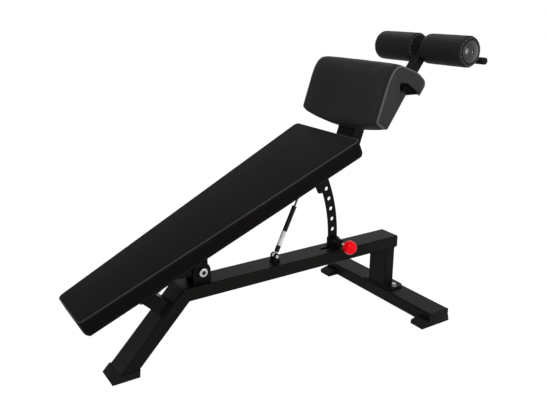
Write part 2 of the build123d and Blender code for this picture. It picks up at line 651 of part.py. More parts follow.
EAR_INNER = EYE_HALF + STRUT_EAR_GAP


def rod_along(radius, start, end):
    """Round bar along the strut."""
    return Pos((start + end) / 2, 0, 0) * Rot(0, 90, 0) * Cylinder(radius, end - start)


def make_strut_foot_bracket():
    """Small fork on the beam for the strut's lower eye."""
    half = STRUT_FOOT_PLATE_LENGTH / 2
    reach = EAR_INNER + STRUT_EAR
    plate_top = BEAM_TOP + STRUT_FOOT_PLATE
    y0, y1 = STRUT_Y - reach, STRUT_Y + reach
    fork = block(STRUT_FOOT_X - half, STRUT_FOOT_X + half, y0, y1, BEAM_TOP, plate_top)
    for y0 in (STRUT_Y - reach, STRUT_Y + EAR_INNER):
        y1 = y0 + STRUT_EAR
        x0, x1 = STRUT_FOOT_X - STRUT_EAR_RADIUS, STRUT_FOOT_X + STRUT_EAR_RADIUS
        fork += block(x0, x1, y0, y1, plate_top, STRUT_FOOT_Z)
        fork += rod_y(STRUT_FOOT_X, STRUT_FOOT_Z, STRUT_EAR_RADIUS, y0, y1)
    return fork - rod_y(STRUT_FOOT_X, STRUT_FOOT_Z, STRUT_PIN / 2, STRUT_Y - reach, STRUT_Y + reach)


def make_strut_foot_bolt():
    """Bolt through the fork and the lower eye."""
    reach = EAR_INNER + STRUT_EAR
    near, far = STRUT_Y - reach, STRUT_Y + reach
    bolt = rod_y(STRUT_FOOT_X, STRUT_FOOT_Z, STRUT_PIN / 2, near, far)
    head = rod_y(STRUT_FOOT_X, STRUT_FOOT_Z, STRUT_PIN_HEAD / 2, near - STRUT_PIN_HEAD_HEIGHT, near)
    head = fillet(head.edges().group_by(Axis.Y)[0], 2)
    nut = hexagon_y(STRUT_FOOT_X, STRUT_FOOT_Z, STRUT_PIN_HEAD - 1, far, far + STRUT_PIN_HEAD_HEIGHT)
    return bolt + head + nut


def make_strut_lower_eye():
    """Eye and plug that close the cylinder's lower end."""
    eye = rod_y(0, 0, STRUT_EYE / 2, -EYE_HALF, EYE_HALF)
    eye += rod_along(STRUT_NECK, 0, STRUT_TUBE_START)
    eye += rod_along(STRUT_BORE, STRUT_TUBE_START, STRUT_TUBE_START + STRUT_PLUG)
    return STRUT * (eye - rod_y(0, 0, STRUT_PIN / 2 + RUNNING_FIT, -EYE_HALF, EYE_HALF))


def make_strut_cylinder():
    """Pressure tube of the strut."""
    tube = rod_along(STRUT_TUBE / 2, STRUT_TUBE_START, STRUT_TUBE_END)
    return STRUT * (tube - rod_along(STRUT_BORE, STRUT_TUBE_START, STRUT_TUBE_END))


def make_strut_guide():
    """Rod guide and seal in the cylinder's upper end."""
    start, end = STRUT_TUBE_END - STRUT_GUIDE, STRUT_TUBE_END
    guide = rod_along(STRUT_BORE, start, end)
    return STRUT * (guide - rod_along(STRUT_ROD / 2 + RUNNING_FIT, start, end))


PISTON_END = STRUT_TUBE_END - STRUT_GUIDE - 2
ROD_END = STRUT_LENGTH - STRUT_EYE / 2


def make_strut_rod():
    """Polished rod from piston to upper eye."""
    return STRUT * rod_along(STRUT_ROD / 2, PISTON_END - STRUT_PISTON, ROD_END)


def make_strut_piston():
    """Piston on the rod, inside the cylinder."""
    start = PISTON_END - STRUT_PISTON
    piston = rod_along(STRUT_BORE - RUNNING_FIT, start, PISTON_END)
    return STRUT * (piston - rod_along(STRUT_ROD / 2, start, PISTON_END))


def make_strut_upper_eye():
    """Eye on the rod's end with its cross pin."""
    eye = rod_y(STRUT_LENGTH, 0, STRUT_EYE / 2, -EYE_HALF, EYE_HALF)
    neck = rod_along(STRUT_NECK, ROD_END - STRUT_PLUG, STRUT_LENGTH)
    neck -= rod_along(STRUT_ROD / 2, ROD_END - STRUT_PLUG, ROD_END)
    reach = EAR_INNER + STRUT_HEAD_PLATE - STRUT_EAR_GAP
    return STRUT * (eye + neck + rod_y(STRUT_LENGTH, 0, STRUT_PIN / 2, -reach, reach))


def make_strut_head_bracket():
    """Fork between the rails with wide windows round the strut's cross pin."""
    half = STRUT_HEAD_LENGTH / 2
    u0, u1 = STRUT_HEAD_REACH - half, STRUT_HEAD_REACH + half
    top = RAIL_TOP - RAIL_CORNER
    fork = block(u0, u1, -RAIL_INNER, RAIL_INNER, top - STRUT_HEAD_PLATE, top)
    low = STRUT_HEAD_RISE - STRUT_HEAD_WINDOW / 2 - STRUT_HEAD_PLATE
    for y0 in (STRUT_Y - EAR_INNER - STRUT_HEAD_PLATE, STRUT_Y + EAR_INNER):
        fork += block(u0, u1, y0, y0 + STRUT_HEAD_PLATE, low, top)
    reach = EAR_INNER + STRUT_HEAD_PLATE
    window = rod_y(STRUT_HEAD_REACH, STRUT_HEAD_RISE, STRUT_HEAD_WINDOW / 2, STRUT_Y - reach, STRUT_Y + reach)
    return TILT * (fork - window)


# Back pad
def pad_outline(inset, height):
    """Tapered outline with rounded corners, drawn in by inset, at a height above the rails' pivot."""
    low, high = -PAD_LOWER_REACH + inset, PAD_LENGTH - PAD_LOWER_REACH - inset
    half_low, half_high = PAD_LOWER_WIDTH / 2 - inset, PAD_UPPER_WIDTH / 2 - inset
    points = [(low, -half_low), (high, -half_high), (high, half_high), (low, half_low)]
    radius = max(PAD_CORNER - inset, PAD_CORNER / 4)
    return Pos(0, 0, height) * make_face(FilletPolyline(*points, radius=radius, close=True))


def make_pad_board():
    """Plywood board inside the pad, drilled for the screws."""
    board = extrude(pad_outline(PAD_BOARD_INSET, RAIL_TOP), PAD_BOARD)
    for side in (-1, 1):
        for u in PAD_SCREW_PLACES:
            place = Pos(u, side * (HALF_TUBE - RAIL_WIDTH / 2), RAIL_TOP + SCREW_BITE / 2)
            board -= place * Cylinder(SCREW / 2, SCREW_BITE)
    return TILT * board


def make_back_pad():
    """Upholstered pad wrapped round its board: sides drawn in at foot and edge, crowned top."""
    edge = PAD_TOP - PAD_CROWN
    steps = [(PAD_FOOT_DRAW, RAIL_TOP + 0.5), (0.4 * PAD_FOOT_DRAW, RAIL_TOP + 0.07 * PAD_THICKNESS)]
    steps += [(0, RAIL_TOP + 0.25 * PAD_THICKNESS), (2, edge - 4), (6, edge)]
    steps += [(20, edge + 0.45 * PAD_CROWN), (48, edge + 0.85 * PAD_CROWN), (80, PAD_TOP)]
    body = loft([pad_outline(inset, height) for inset, height in steps], ruled=True)
    pocket = extrude(pad_outline(PAD_BOARD_INSET, RAIL_TOP), PAD_BOARD)
    return TILT * (body - pocket)


def make_pad_screws():
    """Six screws from under the rails into the board."""
    screws = []
    for side in (-1, 1):
        for u in PAD_SCREW_PLACES:
            y = side * (HALF_TUBE - RAIL_WIDTH / 2)
            low, high = RAIL_RISE, RAIL_TOP + SCREW_BITE
            shank = Pos(u, y, (low + high) / 2) * Cylinder(SCREW / 2, high - low)
            head = Pos(u, y, low - SCREW_HEAD_HEIGHT / 2) * Cylinder(SCREW_HEAD / 2, SCREW_HEAD_HEIGHT)
            head = fillet(head.edges().group_by(Axis.Z)[0], 2)
            screws.append(TILT * (shank + head))
    return Compound(children=screws)


# Knee pad: sizes are measured from the front face of the upright (x) and along it (z)
KNEE_CALF_REAR = KNEE_CALF_REACH - 11
KNEE_ARCH_TOP = UPRIGHT_HEIGHT + KNEE_ARCH
KNEE_ARCH_FRONT = -KNEE_BOARD - 3


def knee_bottom(y):
    """Height of the pad's lower edge, lowest at the middle."""
    return KNEE_CORNER_BOTTOM - KNEE_BOTTOM_SAG * (1 - (y / KNEE_HALF_WIDTH) ** 2)


def knee_rear(z):
    """Place of the pad's sloping rear edge at a height."""
    return KNEE_REAR_SLOPE * (z - KNEE_CORNER_BOTTOM) - KNEE_REAR_LOW


def knee_arch():
    """Underside of the calf side, from its rear end to the seat on the upright's end."""
    crest = KNEE_ARCH_TOP + KNEE_PAD_GAP
    return [(KNEE_CALF_REAR - 29, crest - 11), (TUBE_DEPTH * 0.5, crest), (KNEE_ARCH_FRONT, crest - 8)]


def knee_section(y, grow):
    """Hooked section of the knee pad at y, with its outer faces moved out by grow."""
    front = -KNEE_FRONT - grow
    top = KNEE_TOP + grow
    bottom = knee_bottom(y) - grow
    end = KNEE_CALF_REACH + grow
    end_top = KNEE_TOP - KNEE_CALF_DROP + grow
    end_low = end_top - KNEE_CALF_DEPTH - grow
    shoulder = (front + KNEE_BEND * 0.12, top - KNEE_BEND * 0.42)
    foot = (knee_rear(bottom - 4), bottom - 4)
    seat = UPRIGHT_HEIGHT + KNEE_BOARD
    outline = Polyline(foot, (front + 8, bottom), (front, bottom + 8), (front, top - KNEE_BEND))
    outline += ThreePointArc((front, top - KNEE_BEND), shoulder, (front + KNEE_BEND * 0.42, top))
    outline += Polyline((front + KNEE_BEND * 0.42, top), (TUBE_DEPTH * 0.7, top), (end - 14, end_top + 3))
    outline += ThreePointArc((end - 14, end_top + 3), (end - 3, end_top - 3), (end, end_top - 14))
    outline += Polyline((end, end_top - 14), (KNEE_CALF_REAR, end_low), *knee_arch(), (0, seat))
    outline += Polyline((0, seat), (knee_rear(seat), seat), foot)
    return side_plane(y) * make_face(outline)


def knee_channel():
    """Room in the back of the pad for the upright."""
    half = HALF_TUBE + KNEE_CHANNEL_GAP
    high = UPRIGHT_HEIGHT + KNEE_BOARD + KNEE_CHANNEL_GAP
    return block(-KNEE_PAD_GAP, KNEE_CALF_REACH, -half, half, 0, high)


def make_knee_pad():
    """Padded hook over the upright: crowned across its width, drawn in at both ends."""
    half = KNEE_HALF_WIDTH
    stations = [(half, -9), (half - 4, -4.5), (half - 13, -1), (0.7 * half, 0.4 * KNEE_CROWN)]
    stations += [(0.35 * half, 0.85 * KNEE_CROWN), (0, KNEE_CROWN)]
    rows = [(-y, grow) for y, grow in stations] + [(y, grow) for y, grow in reversed(stations[:-1])]
    pad = loft([knee_section(y, grow) for y, grow in rows], ruled=True) - knee_channel()
    return UPRIGHT * (pad - knee_front_board() - knee_top_board())


def knee_screw_places():
    """Y and height of the four screws through the upright."""
    return [(side * KNEE_SCREW_SPREAD, z) for side in (-1, 1) for z in KNEE_SCREW_ROWS]


def knee_front_board():
    """Outside of the front board."""
    half = KNEE_BOARD_HALF_WIDTH
    return block(-KNEE_BOARD, 0, -half, half, KNEE_BOARD_BOTTOM, UPRIGHT_HEIGHT)


def make_knee_front_board():
    """Board between the upright's face and the knee pad."""
    board = knee_front_board()
    for y, z in knee_screw_places():
        board -= Pos(-KNEE_BOARD / 2, y, z) * Rot(0, 90, 0) * Cylinder(SCREW / 2, KNEE_BOARD)
    return UPRIGHT * board


def knee_top_board():
    """Outside of the block that fills the arch under the calf side."""
    low, crank = UPRIGHT_HEIGHT, TUBE_DEPTH * 0.5
    outline = [(-KNEE_BOARD, low), (crank, low), (KNEE_CALF_REAR - 6, low + KNEE_BLOCK_RISE)]
    outline += [(x, z - KNEE_PAD_GAP) for x, z in knee_arch()[:2]]
    outline += [(-KNEE_BOARD, KNEE_ARCH_TOP - 8)]
    return side_plate(outline, -KNEE_BLOCK_HALF_WIDTH, KNEE_BLOCK_HALF_WIDTH)


def make_knee_top_board():
    """Block on the end of the upright, under the calf side of the pad."""
    return UPRIGHT * knee_top_board()


def make_knee_screws():
    """Four screws from behind the upright into the front board."""
    screws = []
    for y, z in knee_screw_places():
        tip, face = 2 - KNEE_BOARD, TUBE_DEPTH
        shank = Pos((tip + face) / 2, y, z) * Rot(0, 90, 0) * Cylinder(SCREW / 2, face - tip)
        middle = Pos(face + SCREW_HEAD_HEIGHT / 2, y, z)
        head = middle * Rot(0, 90, 0) * Cylinder(SCREW_HEAD / 2, SCREW_HEAD_HEIGHT)
        screws.append(UPRIGHT * (shank + head))
    return Compound(children=screws)


# Roller arm and handle, in the upright's own directions
ARM_LOW_ANGLE = degrees(atan2(ARM_ELBOW_UP - ARM_ROOT, ARM_ELBOW_BACK - TUBE_DEPTH))
ARM_HIGH_RUN = (ROLLER_BACK - ARM_ELBOW_BACK, ROLLER_UP - ARM_ELBOW_UP)
ARM_HIGH_ANGLE = degrees(atan2(ARM_HIGH_RUN[1], ARM_HIGH_RUN[0]))


def make_roller_arm():
    """Square tube from the back of the upright, cranked up to the roller bar."""
    elbow = Pos(ARM_ELBOW_BACK, 0, ARM_ELBOW_UP)
    reach = hypot(*ARM_HIGH_RUN) + ARM_OVERRUN
    mitre = mitre_plane(ARM_ELBOW_BACK, ARM_ELBOW_UP, 180 + ARM_LOW_ANGLE, ARM_HIGH_ANGLE)
    low = tube_x(-2 * ARM_ELBOW_BACK, ARM_TUBE, ARM_TUBE, ARM_TUBE, ARM_WALL, ARM_CORNER)
    low = keep_side(elbow * Rot(0, -ARM_LOW_ANGLE, 0) * low, mitre)
    low = keep_side(low, Plane(origin=(TUBE_DEPTH, 0, 0), z_dir=(1, 0, 0)))
    high = tube_x(-ARM_TUBE, reach, ARM_TUBE, ARM_TUBE, ARM_WALL, ARM_CORNER)
    high += block(reach, reach + ARM_WALL, -ARM_TUBE / 2, ARM_TUBE / 2, -ARM_TUBE / 2, ARM_TUBE / 2)
    high = keep_side(elbow * Rot(0, -ARM_HIGH_ANGLE, 0) * high, -mitre)
    bore = rod_y(ROLLER_BACK, ROLLER_UP, ROLLER_BAR / 2, -ARM_TUBE, ARM_TUBE)
    return UPRIGHT * (low + high - bore)


BAR_END = ROLLER_OUTER - ROLLER_CAP_DOME


def make_roller_bar():
    """Axle of both rollers, welded through the arm."""
    return UPRIGHT * rod_y(ROLLER_BACK, ROLLER_UP, ROLLER_BAR / 2, -BAR_END, BAR_END)


def make_handle_stem():
    """Short tube from the arm's head to the handle bar."""
    half = HANDLE_STEM / 2
    stem = tube_x(0, HANDLE_REACH, HANDLE_STEM, HANDLE_STEM, ARM_WALL, ARM_WALL + 1)
    stem = Pos(ROLLER_BACK, 0, ROLLER_UP) * stem
    lean = radians(ARM_HIGH_ANGLE)
    face = (ROLLER_BACK + ARM_TUBE / 2 * sin(lean), 0, ROLLER_UP - ARM_TUBE / 2 * cos(lean))
    stem = keep_side(stem, Plane(origin=face, z_dir=(sin(lean), 0, -cos(lean))))
    bar = rod_y(ROLLER_BACK + HANDLE_REACH, ROLLER_UP, HANDLE_BAR / 2, -half, half)
    return UPRIGHT * (stem - bar)


def make_handle_bar():
    """Cross tube behind the rollers."""
    x, z = ROLLER_BACK + HANDLE_REACH, ROLLER_UP
    bar = rod_y(x, z, HANDLE_BAR / 2, -HANDLE_HALF, HANDLE_HALF)
    return UPRIGHT * (bar - rod_y(x, z, HANDLE_BAR / 2 - HANDLE_WALL, -HANDLE_HALF, HANDLE_HALF))


def make_handle_grips():
    """Rubber sleeve with closed end on each end of the bar."""
    x, z = ROLLER_BACK + HANDLE_REACH, ROLLER_UP
    grips = []
    for side in (-1, 1):
        y0, y1 = sorted((side * (HANDLE_HALF - GRIP_LENGTH), side * (HANDLE_HALF + GRIP_END)))
        sleeve = rod_y(x, z, HANDLE_BAR / 2 + GRIP_WALL, y0, y1)
        sleeve = fillet(sleeve.edges().filter_by(GeomType.CIRCLE), 2)
        bar0, bar1 = sorted((side * (HANDLE_HALF - GRIP_LENGTH - 1), side * HANDLE_HALF))
        grips.append(UPRIGHT * (sleeve - rod_y(x, z, HANDLE_BAR / 2, bar0, bar1)))
    return Compound(children=grips)


# Rollers, drawn on the far side and mirrored for the near one
CORE_OUTER = ROLLER_BAR / 2 + RUNNING_FIT + ROLLER_CORE_WALL
CORE_START = ARM_TUBE / 2 + ROLLER_CORE_GAP


def place_roller(part, side):
    """Put a roller piece on its side of the arm."""
    part = part if side > 0 else mirror(part, Plane.XZ)
    return UPRIGHT * Pos(ROLLER_BACK, 0, ROLLER_UP) * part


def make_roller_core(side):
    """Plastic sleeve that turns on the bar."""
    core = rod_y(0, 0, CORE_OUTER, CORE_START, ROLLER_OUTER)
    return place_roller(core - rod_y(0, 0, ROLLER_BAR / 2 + RUNNING_FIT, CORE_START, ROLLER_OUTER), side)


def make_roller_foam(side):
    """Padded roller with rounded ends."""
    inner, outer, r = ROLLER_INNER, ROLLER_OUTER, ROLLER_ROUND
    bulge = r * (1 - cos(radians(45)))
    outline = Polyline((CORE_OUTER, outer), (CORE_OUTER, inner), (ROLLER_RADIUS - r, inner))
    start, end = (ROLLER_RADIUS - r, inner), (ROLLER_RADIUS, inner + r)
    outline += ThreePointArc(start, (ROLLER_RADIUS - bulge, inner + bulge), end)
    outline += Line(end, (ROLLER_RADIUS, outer - r))
    start, end = (ROLLER_RADIUS, outer - r), (ROLLER_RADIUS - r, outer)
    outline += ThreePointArc(start, (ROLLER_RADIUS - bulge, outer - bulge), end)
    outline += Line(end, (CORE_OUTER, outer))
    return place_roller(revolve_y(outline, 0, 0), side)


def make_roller_cap(side):
    """Domed plastic cap with a small hole at its middle, on the roller's outer end."""
    rim, eye = ROLLER_CAP_RADIUS, ROLLER_CAP_HOLE / 2
    edge, dome = ROLLER_OUTER + ROLLER_CAP_EDGE, ROLLER_OUTER + ROLLER_CAP_DOME
    outline = Polyline((eye, dome), (eye, ROLLER_OUTER), (rim, ROLLER_OUTER), (rim, edge))
    outline += ThreePointArc((rim, edge), (0.6 * rim, edge + 0.68 * (dome - edge)), (eye, dome))
    return place_roller(revolve_y(outline, 0, 0), side)


def build_parts():
    """Every piece of the bench by its name."""
    parts = {
        "main_beam": make_main_beam(),
        "front_leg": make_front_leg(),
        "front_boot": make_front_boot(),
        "rear_post": make_rear_post(),
        "post_flange": make_post_flange(),
        "rear_cross_foot": make_rear_cross_foot(),
        "flange_bolts": make_flange_bolts(),
        "beam_end_cap": make_beam_end_cap(),
        "pivot_bolt": make_pivot_bolt(),
        "pivot_nut": make_pivot_nut(),
        "pivot_hub": make_pivot_hub(),
        "pivot_bushes": make_pivot_bushes(),
        "pivot_hangers": make_pivot_hangers(),
        "rail_end_caps": make_rail_end_caps(),
        "upright": make_upright(),
        "stop_leg": make_stop_leg(),
        "stop_bumper": make_stop_bumper(),
        "arc_plate": make_arc_plate(),
        "arc_mount": make_arc_mount(),
        "pin_barrel": make_pin_barrel(),
        "pin_plunger": make_pin_plunger(),
        "pin_knob": make_pin_knob(),
        "pin_spring": make_pin_spring(),
        "strut_foot_bracket": make_strut_foot_bracket(),
        "strut_foot_bolt": make_strut_foot_bolt(),
        "strut_lower_eye": make_strut_lower_eye(),
        "strut_cylinder": make_strut_cylinder(),
        "strut_guide": make_strut_guide(),
        "strut_rod": make_strut_rod(),
        "strut_piston": make_strut_piston(),
        "strut_upper_eye": make_strut_upper_eye(),
        "strut_head_bracket": make_strut_head_bracket(),
        "pad_board": make_pad_board(),
        "back_pad": make_back_pad(),
        "pad_screws": make_pad_screws(),
        "knee_front_board": make_knee_front_board(),
        "knee_top_board": make_knee_top_board(),
        "knee_pad": make_knee_pad(),
        "knee_screws": make_knee_screws(),
        "roller_arm": make_roller_arm(),
        "roller_bar": make_roller_bar(),
        "handle_stem": make_handle_stem(),
        "handle_bar": make_handle_bar(),
        "handle_grips": make_handle_grips(),
    }
    for name, side in (("near", -1), ("far", 1)):
        parts["foot_boot_" + name] = make_foot_boot(side)
        parts["pivot_lug_" + name] = make_pivot_lug(side)
        parts["rail_" + name] = make_rail(side)
        parts["pin_cheek_" + name] = make_pin_cheek(side)
        parts["roller_core_" + name] = make_roller_core(side)
        parts["roller_foam_" + name] = make_roller_foam(side)
        parts["roller_cap_" + name] = make_roller_cap(side)
    return parts


os.makedirs("parts", exist_ok=True)
for node, shape in build_parts().items():
    export_step(shape, f"parts/{node}.step")
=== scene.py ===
"""Looks of an adjustable decline bench: upholstery, powder coat, rubber, bright steel and a studio."""

import json
import math
from contextlib import contextmanager
from typing import NamedTuple

import bmesh
import bpy
import numpy as np
from bpy.props import FloatProperty, FloatVectorProperty, PointerProperty
from mathutils import Matrix, Vector


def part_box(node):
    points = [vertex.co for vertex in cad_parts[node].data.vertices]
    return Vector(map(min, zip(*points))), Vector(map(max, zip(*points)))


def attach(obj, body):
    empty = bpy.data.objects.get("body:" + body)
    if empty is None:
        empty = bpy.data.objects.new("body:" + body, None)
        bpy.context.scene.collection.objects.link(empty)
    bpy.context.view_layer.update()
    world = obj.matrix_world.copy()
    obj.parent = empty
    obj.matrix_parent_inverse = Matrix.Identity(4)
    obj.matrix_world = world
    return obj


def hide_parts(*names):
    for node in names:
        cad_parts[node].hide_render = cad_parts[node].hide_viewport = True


bl_info = {
    "name": "Decline bench dressing",
    "version": (1, 0, 0),
    "blender": (4, 5, 0),
    "location": "3D View > Sidebar > Bench",
    "description": "Dresses the frame of an adjustable decline bench with its upholstery and finishes",
    "category": "Object",
}

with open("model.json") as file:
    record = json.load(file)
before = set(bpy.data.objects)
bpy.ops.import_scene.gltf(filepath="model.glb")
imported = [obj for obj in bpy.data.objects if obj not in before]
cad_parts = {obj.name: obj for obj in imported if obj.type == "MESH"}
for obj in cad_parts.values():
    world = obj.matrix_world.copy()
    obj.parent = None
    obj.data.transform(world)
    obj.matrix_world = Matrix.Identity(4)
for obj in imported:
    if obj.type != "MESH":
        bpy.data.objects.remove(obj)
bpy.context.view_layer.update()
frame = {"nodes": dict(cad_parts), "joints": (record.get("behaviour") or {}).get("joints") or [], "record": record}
NODES = frame["nodes"]
JOINTS = {joint["name"]: joint for joint in frame["joints"]}
BODY_OF = {node: body for body, nodes in frame["record"]["behaviour"]["bodies"].items() for node in nodes}
SLOT_OF = {part["node"]: part["material_slot"] for part in frame["record"]["subparts"]}

# Directions of the tilting frame and of the upright on it, at rest
PIVOT = Vector(JOINTS["tilt"]["pos_m"])
TILT = math.radians(24.76)
UPRIGHT_TURN = TILT - math.radians(43.7)
RAIL_TOP = 0.094
RAIL_RISE = 0.044
UPRIGHT_REACH = 0.735
HANDLE_BEHIND, HANDLE_HEIGHT = 0.400, 0.428
SIDES = (("near", -1), ("far", 1))
ROLLER_AXIS = Vector(JOINTS["roller_near_spin"]["pos_m"])
STRUT_FOOT = Vector(JOINTS["strut_swing"]["pos_m"])
STRUT_RUN = Vector(JOINTS["strut_slide"]["axis"])


def on_rails(u, y, w):
    """Point from its place along the rails, across the bench and above the pivot."""
    c, s = math.cos(TILT), math.sin(TILT)
    return Vector((PIVOT.x + u * c - w * s, y, PIVOT.z + u * s + w * c))


def on_upright(x, y, z):
    """Point from its place behind the upright's front face, across the bench and along the upright."""
    c, s = math.cos(UPRIGHT_TURN), math.sin(UPRIGHT_TURN)
    foot = on_rails(UPRIGHT_REACH, 0, RAIL_TOP)
    return Vector((foot.x + x * c - z * s, y, foot.z + x * s + z * c))


# Settings that a user may change
def length(label, words, value):
    """Length setting."""
    return FloatProperty(name=label, description=words, default=value, min=value / 5, max=value * 5,
                         unit="LENGTH")


def colour(label, words, value):
    """Colour setting."""
    return FloatVectorProperty(name=label, description=words, default=value, size=3, min=0, max=1,
                               subtype="COLOR")


class BenchSizes(bpy.types.PropertyGroup):
    """Sizes of the dressing."""

    piping: length("Piping radius", "Radius of the welt round the back pad", 0.0024)
    knee_piping: length("Knee piping radius", "Radius of the welts on the knee pad", 0.0036)
    stitch: length("Stitch length", "Length of one visible stitch", 0.0042)
    stitch_pitch: length("Stitch pitch", "Distance from stitch to stitch", 0.0064)
    swell: length("Cushion swell", "Furthest that the cover of a pad may swell", 0.004)
    bead: length("Weld bead", "Radius of the weld beads", 0.0024)
    plate_edge: length("Plate edge", "Rounding of the plates' edges", 0.0009)
    boot_edge: length("Boot edge", "Rounding of the rubber shoes' edges", 0.0026)
    label_start: length("Label start", "Start of the strut's blank label from its lower eye", 0.042)
    label_length: length("Label length", "Length of the strut's blank label", 0.057)


class BenchColours(bpy.types.PropertyGroup):
    """Colours of the finishes."""

    vinyl: colour("Vinyl", "Upholstery of the back pad", (0.0096, 0.0096, 0.0094))
    # Knee vinyl: the back pad's vinyl made lighter, as painted light on the lit front of the knee pad
    knee: colour("Knee vinyl", "Upholstery of the knee pad", (0.024, 0.024, 0.0236))
    # Roller vinyl: the back pad's vinyl made lighter, as painted light on the rollers
    roller: colour("Roller vinyl", "Upholstery of the ankle rollers", (0.019, 0.019, 0.019))
    # Boxing: the back pad's vinyl made darker, as painted shade on the pad's sides
    boxing: colour("Boxing", "Side band of the back pad", (0.0034, 0.0029, 0.0026))
    # Side panel vinyl: the same lightened vinyl, as painted light on the knee pad's lit side panels
    panel: colour("Side panel", "Side panels of the knee pad", (0.024, 0.024, 0.025))
    # Welt: lighter than the vinyl, a painted highlight along the back pad's near top edge
    welt: colour("Welt", "Piping along the back pad's edge", (0.036, 0.036, 0.036))
    # Knee welt: far lighter than the vinyl, a painted highlight along the knee pad's rounded front edges
    knee_welt: colour("Knee welt", "Piping along the knee pad's side panels", (0.082, 0.082, 0.083))
    thread: colour("Thread", "Sewing thread", (0.012, 0.012, 0.012))
    roller_thread: colour("Roller thread", "Thread round the rollers' ends", (0.12, 0.12, 0.12))
    paint: colour("Powder coat", "Paint of the steel frame", (0.0073, 0.0067, 0.0060))
    rubber: colour("Rubber", "Shoes and grips", (0.0105, 0.0102, 0.0100))
    # Bumper: darker than the other rubber, as painted shade on the stop bumper
    bumper: colour("Bumper", "Stop bumper", (0.002, 0.002, 0.002))
    plastic: colour("Black plastic", "Plugs and sleeves", (0.010, 0.010, 0.010))
    cap: colour("Roller cap", "Caps on the rollers", (0.008, 0.008, 0.0084))
    knob: colour("Pin knob", "Ball knob of the pop pin", (0.90, 0.003, 0.009))
    label: colour("Label", "Blank label of the strut", (0.9, 0.9, 0.9))
    steel: colour("Bright steel", "Bolts, screws and pin", (0.45, 0.45, 0.46))
    rod: colour("Strut rod", "Dark rod of the gas strut", (0.09, 0.09, 0.092))
    cloth: colour("Dust cloth", "Cloth under the back pad", (0.012, 0.012, 0.012))
    # Board: stained plywood, darkened to near black as painted shade in the knee pad's recess
    board: colour("Board", "Stained plywood of the knee pad", (0.003, 0.0026, 0.0024))


def sizes():
    return bpy.context.scene.bench_sizes


# Shader effects shared by the finishes
def effect_group(name, scale):
    """Empty shader group with a Vector and a Scale input and Height and Tone outputs."""
    tree = bpy.data.node_groups.new(name, "ShaderNodeTree")
    tree.interface.new_socket(name="Vector", in_out="INPUT", socket_type="NodeSocketVector")
    size = tree.interface.new_socket(name="Scale", in_out="INPUT", socket_type="NodeSocketFloat")
    size.default_value = scale
    for label in ("Height", "Tone"):
        tree.interface.new_socket(name=label, in_out="OUTPUT", socket_type="NodeSocketFloat")
    return tree, tree.nodes.new("NodeGroupInput"), tree.nodes.new("NodeGroupOutput")


def feed(tree, slot, value):
    """Give a socket a number or a link."""
    if isinstance(value, (int, float)):
        slot.default_value = value
    else:
        tree.links.new(value, slot)


def maths(tree, operation, a, b):
    """Math node on two sockets or numbers."""
    node = tree.nodes.new("ShaderNodeMath")
    node.operation = operation
    feed(tree, node.inputs[0], a)
    feed(tree, node.inputs[1], b)
    return node.outputs[0]


def noise(tree, vector, scale, detail=2.0):
    """Noise texture's value; scale is a number or a socket."""
    node = tree.nodes.new("ShaderNodeTexNoise")
    node.inputs["Detail"].default_value = detail
    tree.links.new(vector, node.inputs["Vector"])
    feed(tree, node.inputs["Scale"], scale)
    return node.outputs["Fac"]


def stretched(tree, vector, scale):
    """Vector stretched along the axes."""
    node = tree.nodes.new("ShaderNodeMapping")
    node.inputs["Scale"].default_value = scale
    tree.links.new(vector, node.inputs["Vector"])
    return node.outputs["Vector"]


def pebble_grain():
    """Embossed grain of upholstery vinyl: small pebbles, fine creases and slow changes of tone."""
    tree, given, out = effect_group("Pebble grain", 620.0)
    vector, scale = given.outputs["Vector"], given.outputs["Scale"]
    cells = tree.nodes.new("ShaderNodeTexVoronoi")
    cells.feature = "SMOOTH_F1"
    tree.links.new(vector, cells.inputs["Vector"])
    tree.links.new(scale, cells.inputs["Scale"])
    pebbles = maths(tree, "SUBTRACT", 1.0, cells.outputs["Distance"])
    fine = maths(tree, "MULTIPLY", noise(tree, vector, maths(tree, "MULTIPLY", scale, 2.3)), 0.35)
    tree.links.new(maths(tree, "ADD", pebbles, fine), out.inputs["Height"])
    slow = noise(tree, vector, 7.0, 3.0)
    tone = maths(tree, "ADD", maths(tree, "MULTIPLY", slow, 0.7), maths(tree, "MULTIPLY", pebbles, 0.3))
    tree.links.new(tone, out.inputs["Tone"])
    return tree


def orange_peel():
    """Fine orange peel of powder coat with slow changes of tone."""
    tree, given, out = effect_group("Orange peel", 520.0)
    vector, scale = given.outputs["Vector"], given.outputs["Scale"]
    coarse = noise(tree, vector, scale, 1.0)
    fine = noise(tree, vector, maths(tree, "MULTIPLY", scale, 3.1), 1.0)
    tree.links.new(maths(tree, "ADD", coarse, maths(tree, "MULTIPLY", fine, 0.4)), out.inputs["Height"])
    tree.links.new(noise(tree, vector, 9.0, 4.0), out.inputs["Tone"])
    return tree


def drawn_lines():
    """Fine turned or drawn lines in bright metal."""
    tree, given, out = effect_group("Drawn lines", 240.0)
    vector = given.outputs["Vector"]
    lines = noise(tree, stretched(tree, vector, (1.0, 9.0, 1.0)), given.outputs["Scale"], 3.0)
    tree.links.new(lines, out.inputs["Height"])
    tree.links.new(noise(tree, vector, 40.0), out.inputs["Tone"])
    return tree


def wood_figure():
    """Long dark figure of stained plywood."""
    tree, given, out = effect_group("Wood figure", 60.0)
    along = stretched(tree, given.outputs["Vector"], (1.0, 0.12, 1.0))
    figure = noise(tree, along, given.outputs["Scale"], 5.0)
    for label in ("Height", "Tone"):
        tree.links.new(figure, out.inputs[label])
    return tree


EFFECTS = {"Pebble grain": pebble_grain, "Orange peel": orange_peel, "Drawn lines": drawn_lines,
           "Wood figure": wood_figure}


def effect(name):
    """Shader group of that name, built once."""
    return bpy.data.node_groups.get(name) or EFFECTS[name]()


# Finishes
class Finish(NamedTuple):
    """A finish: colour setting, roughness, effect with its scale and bump, and how much they vary."""

    colour: str
    rough: float
    effect: str
    scale: float
    bump: float
    gloss: float = 0.5
    spread: float = 0.35
    rough_spread: float = 0.08
    metal: float = 0.0


